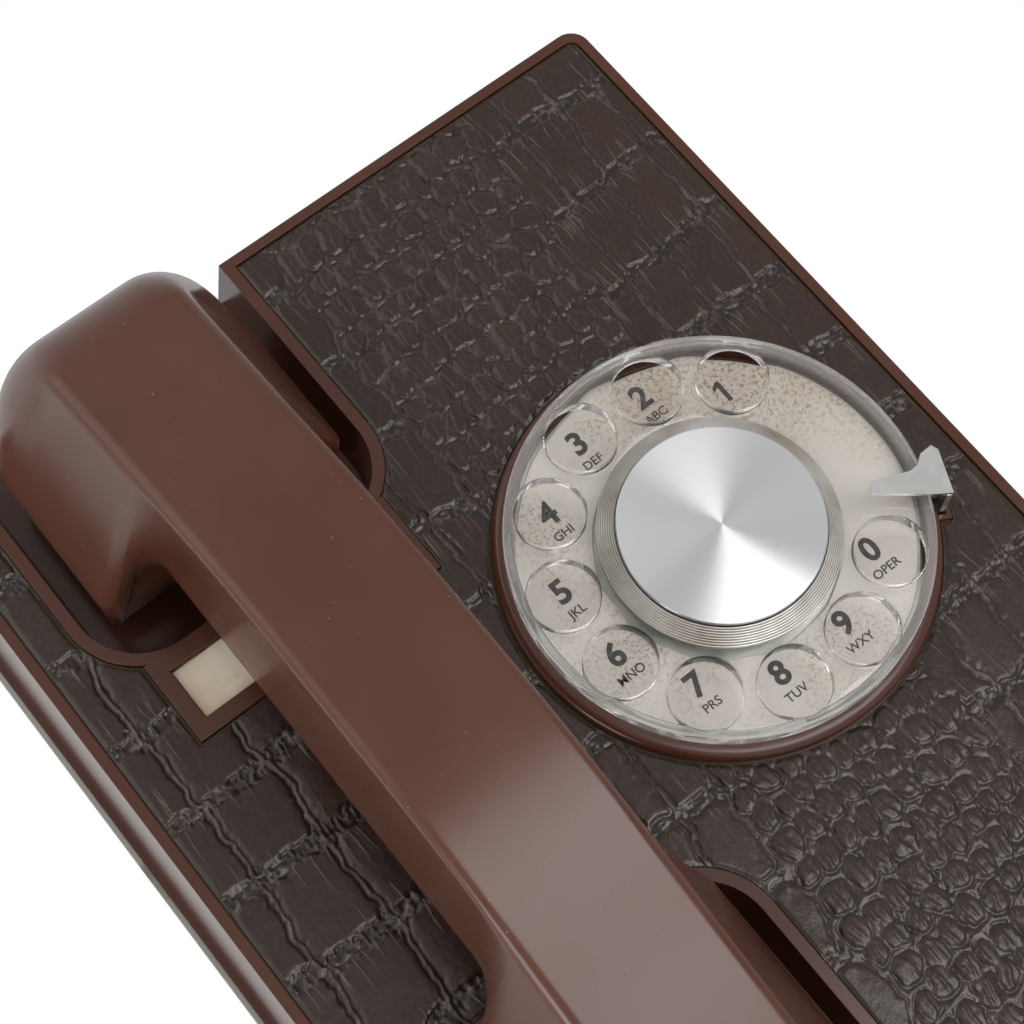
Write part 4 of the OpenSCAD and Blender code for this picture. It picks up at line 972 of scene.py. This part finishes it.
def shell(name, rings, turn, material):
    """Skin over a list of rings, closed from the last to the first, and covered at the turn."""
    n, half = len(rings[0]), len(rings[0]) // 2
    points = [at(CRADLE_X + x, HS_Z + y, h) for ring in rings for x, y, h in ring]
    faces = []
    for k in range(len(rings)):
        if k == turn:
            continue
        m = (k + 1) % len(rings)
        for j in range(n):
            i = (j + 1) % n
            faces.append((k * n + j, m * n + j, m * n + i, k * n + i))
    for k in (turn, turn + 1):
        for i in range(half - 1):
            faces.append((k * n + i, k * n + i + 1, k * n + n - 2 - i, k * n + n - 1 - i))
    piece = new_mesh(name, points, faces, material)
    normals_out(piece)
    piece.data.set_sharp_from_angle(angle=math.radians(38))
    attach(piece, "handset")


def rounded_ridge(count):
    """Rings from the plain side over the ridge onto the crown."""
    rings = zip(side_ring(0.945, 0.85), ridge_ring(0, 0, 0, 0), ridge_ring(1.9, 0, 5.2, 0))
    rings = list(rings)
    return [[tuple((1 - t) ** 2 * a + 2 * t * (1 - t) * b + t * t * c
                   for a, b, c in zip(u, v, w)) for u, v, w in rings]
            for t in span(0, 1, count)]


sides = [side_ring(t, 0.9 * t) for t in (0.012, 0.08, 0.16, 0.25, 0.35, 0.45, 0.55, 0.65, 0.75,
                                         0.85, 0.91)]
back_rings = ([seam_ring(0.35, 0.02)] + sides + rounded_ridge(9)
              + [ridge_ring(2.3, 0, 5.5, 0), ridge_ring(3, 0, 5.7, 0),
                 ridge_ring(3.2, 2.2, 5.8, 2.2), seam_ring(2.2, 0.02)])
shell("handset_back", back_rings, len(back_rings) - 3, brown_hs)
# the CAD underside stays: it has the bores and the jack's opening
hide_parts("handset_shell")

# ---------- Edges of the moulded and pressed parts ----------


def soften(node, width, body, limit=28, steps=2):
    """Copy of a CAD node with its sharp edges rounded, shown in its place."""
    source = NODES[node]
    mesh = source.data.copy()
    mesh.name = node + "_soft"
    bm = bmesh.new()
    bm.from_mesh(mesh)
    bmesh.ops.remove_doubles(bm, verts=bm.verts, dist=2e-6)
    bmesh.ops.dissolve_limit(bm, angle_limit=math.radians(0.6), verts=bm.verts,
                             edges=bm.edges)
    bm.to_mesh(mesh)
    bm.free()
    if mesh.attributes.get("custom_normal"):
        mesh.attributes.remove(mesh.attributes["custom_normal"])
    piece = bpy.data.objects.new(node + "_soft", mesh)
    scene.collection.objects.link(piece)
    bevel = piece.modifiers.new("bevel", "BEVEL")
    bevel.width = width / 1000
    bevel.segments = steps
    bevel.limit_method = "ANGLE"
    bevel.angle_limit = math.radians(limit)
    mesh.shade_smooth()
    piece.modifiers.new("weighted", "WEIGHTED_NORMAL")
    made = evaluated(piece)
    piece.modifiers.clear()
    piece.data = made
    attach(piece, body)
    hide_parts(node)


soften("housing", 0.5, "phone")
soften("dial_bezel", 0.25, "phone")
soften("base_plate", 0.3, "phone")
soften("finger_stop", 0.3, "phone", 25, 4)

# ---------- Floor ----------

floor_look = Look("floor", (0.82, 0.82, 0.82, 1), 0.8)
floor_look.paint(floor_look.mix(floor_look.noise(3, 3), (0.80, 0.80, 0.80, 1),
                                (0.86, 0.86, 0.86, 1)))
FLOOR, FLOOR_Z = 3, -0.45
floor = new_mesh("floor", [(x, y, FLOOR_Z) for x, y in ((-FLOOR, -FLOOR), (FLOOR, -FLOOR),
                                                       (FLOOR, FLOOR), (-FLOOR, FLOOR))],
                 [(0, 1, 2, 3)], floor_look.material, False)

write_size()
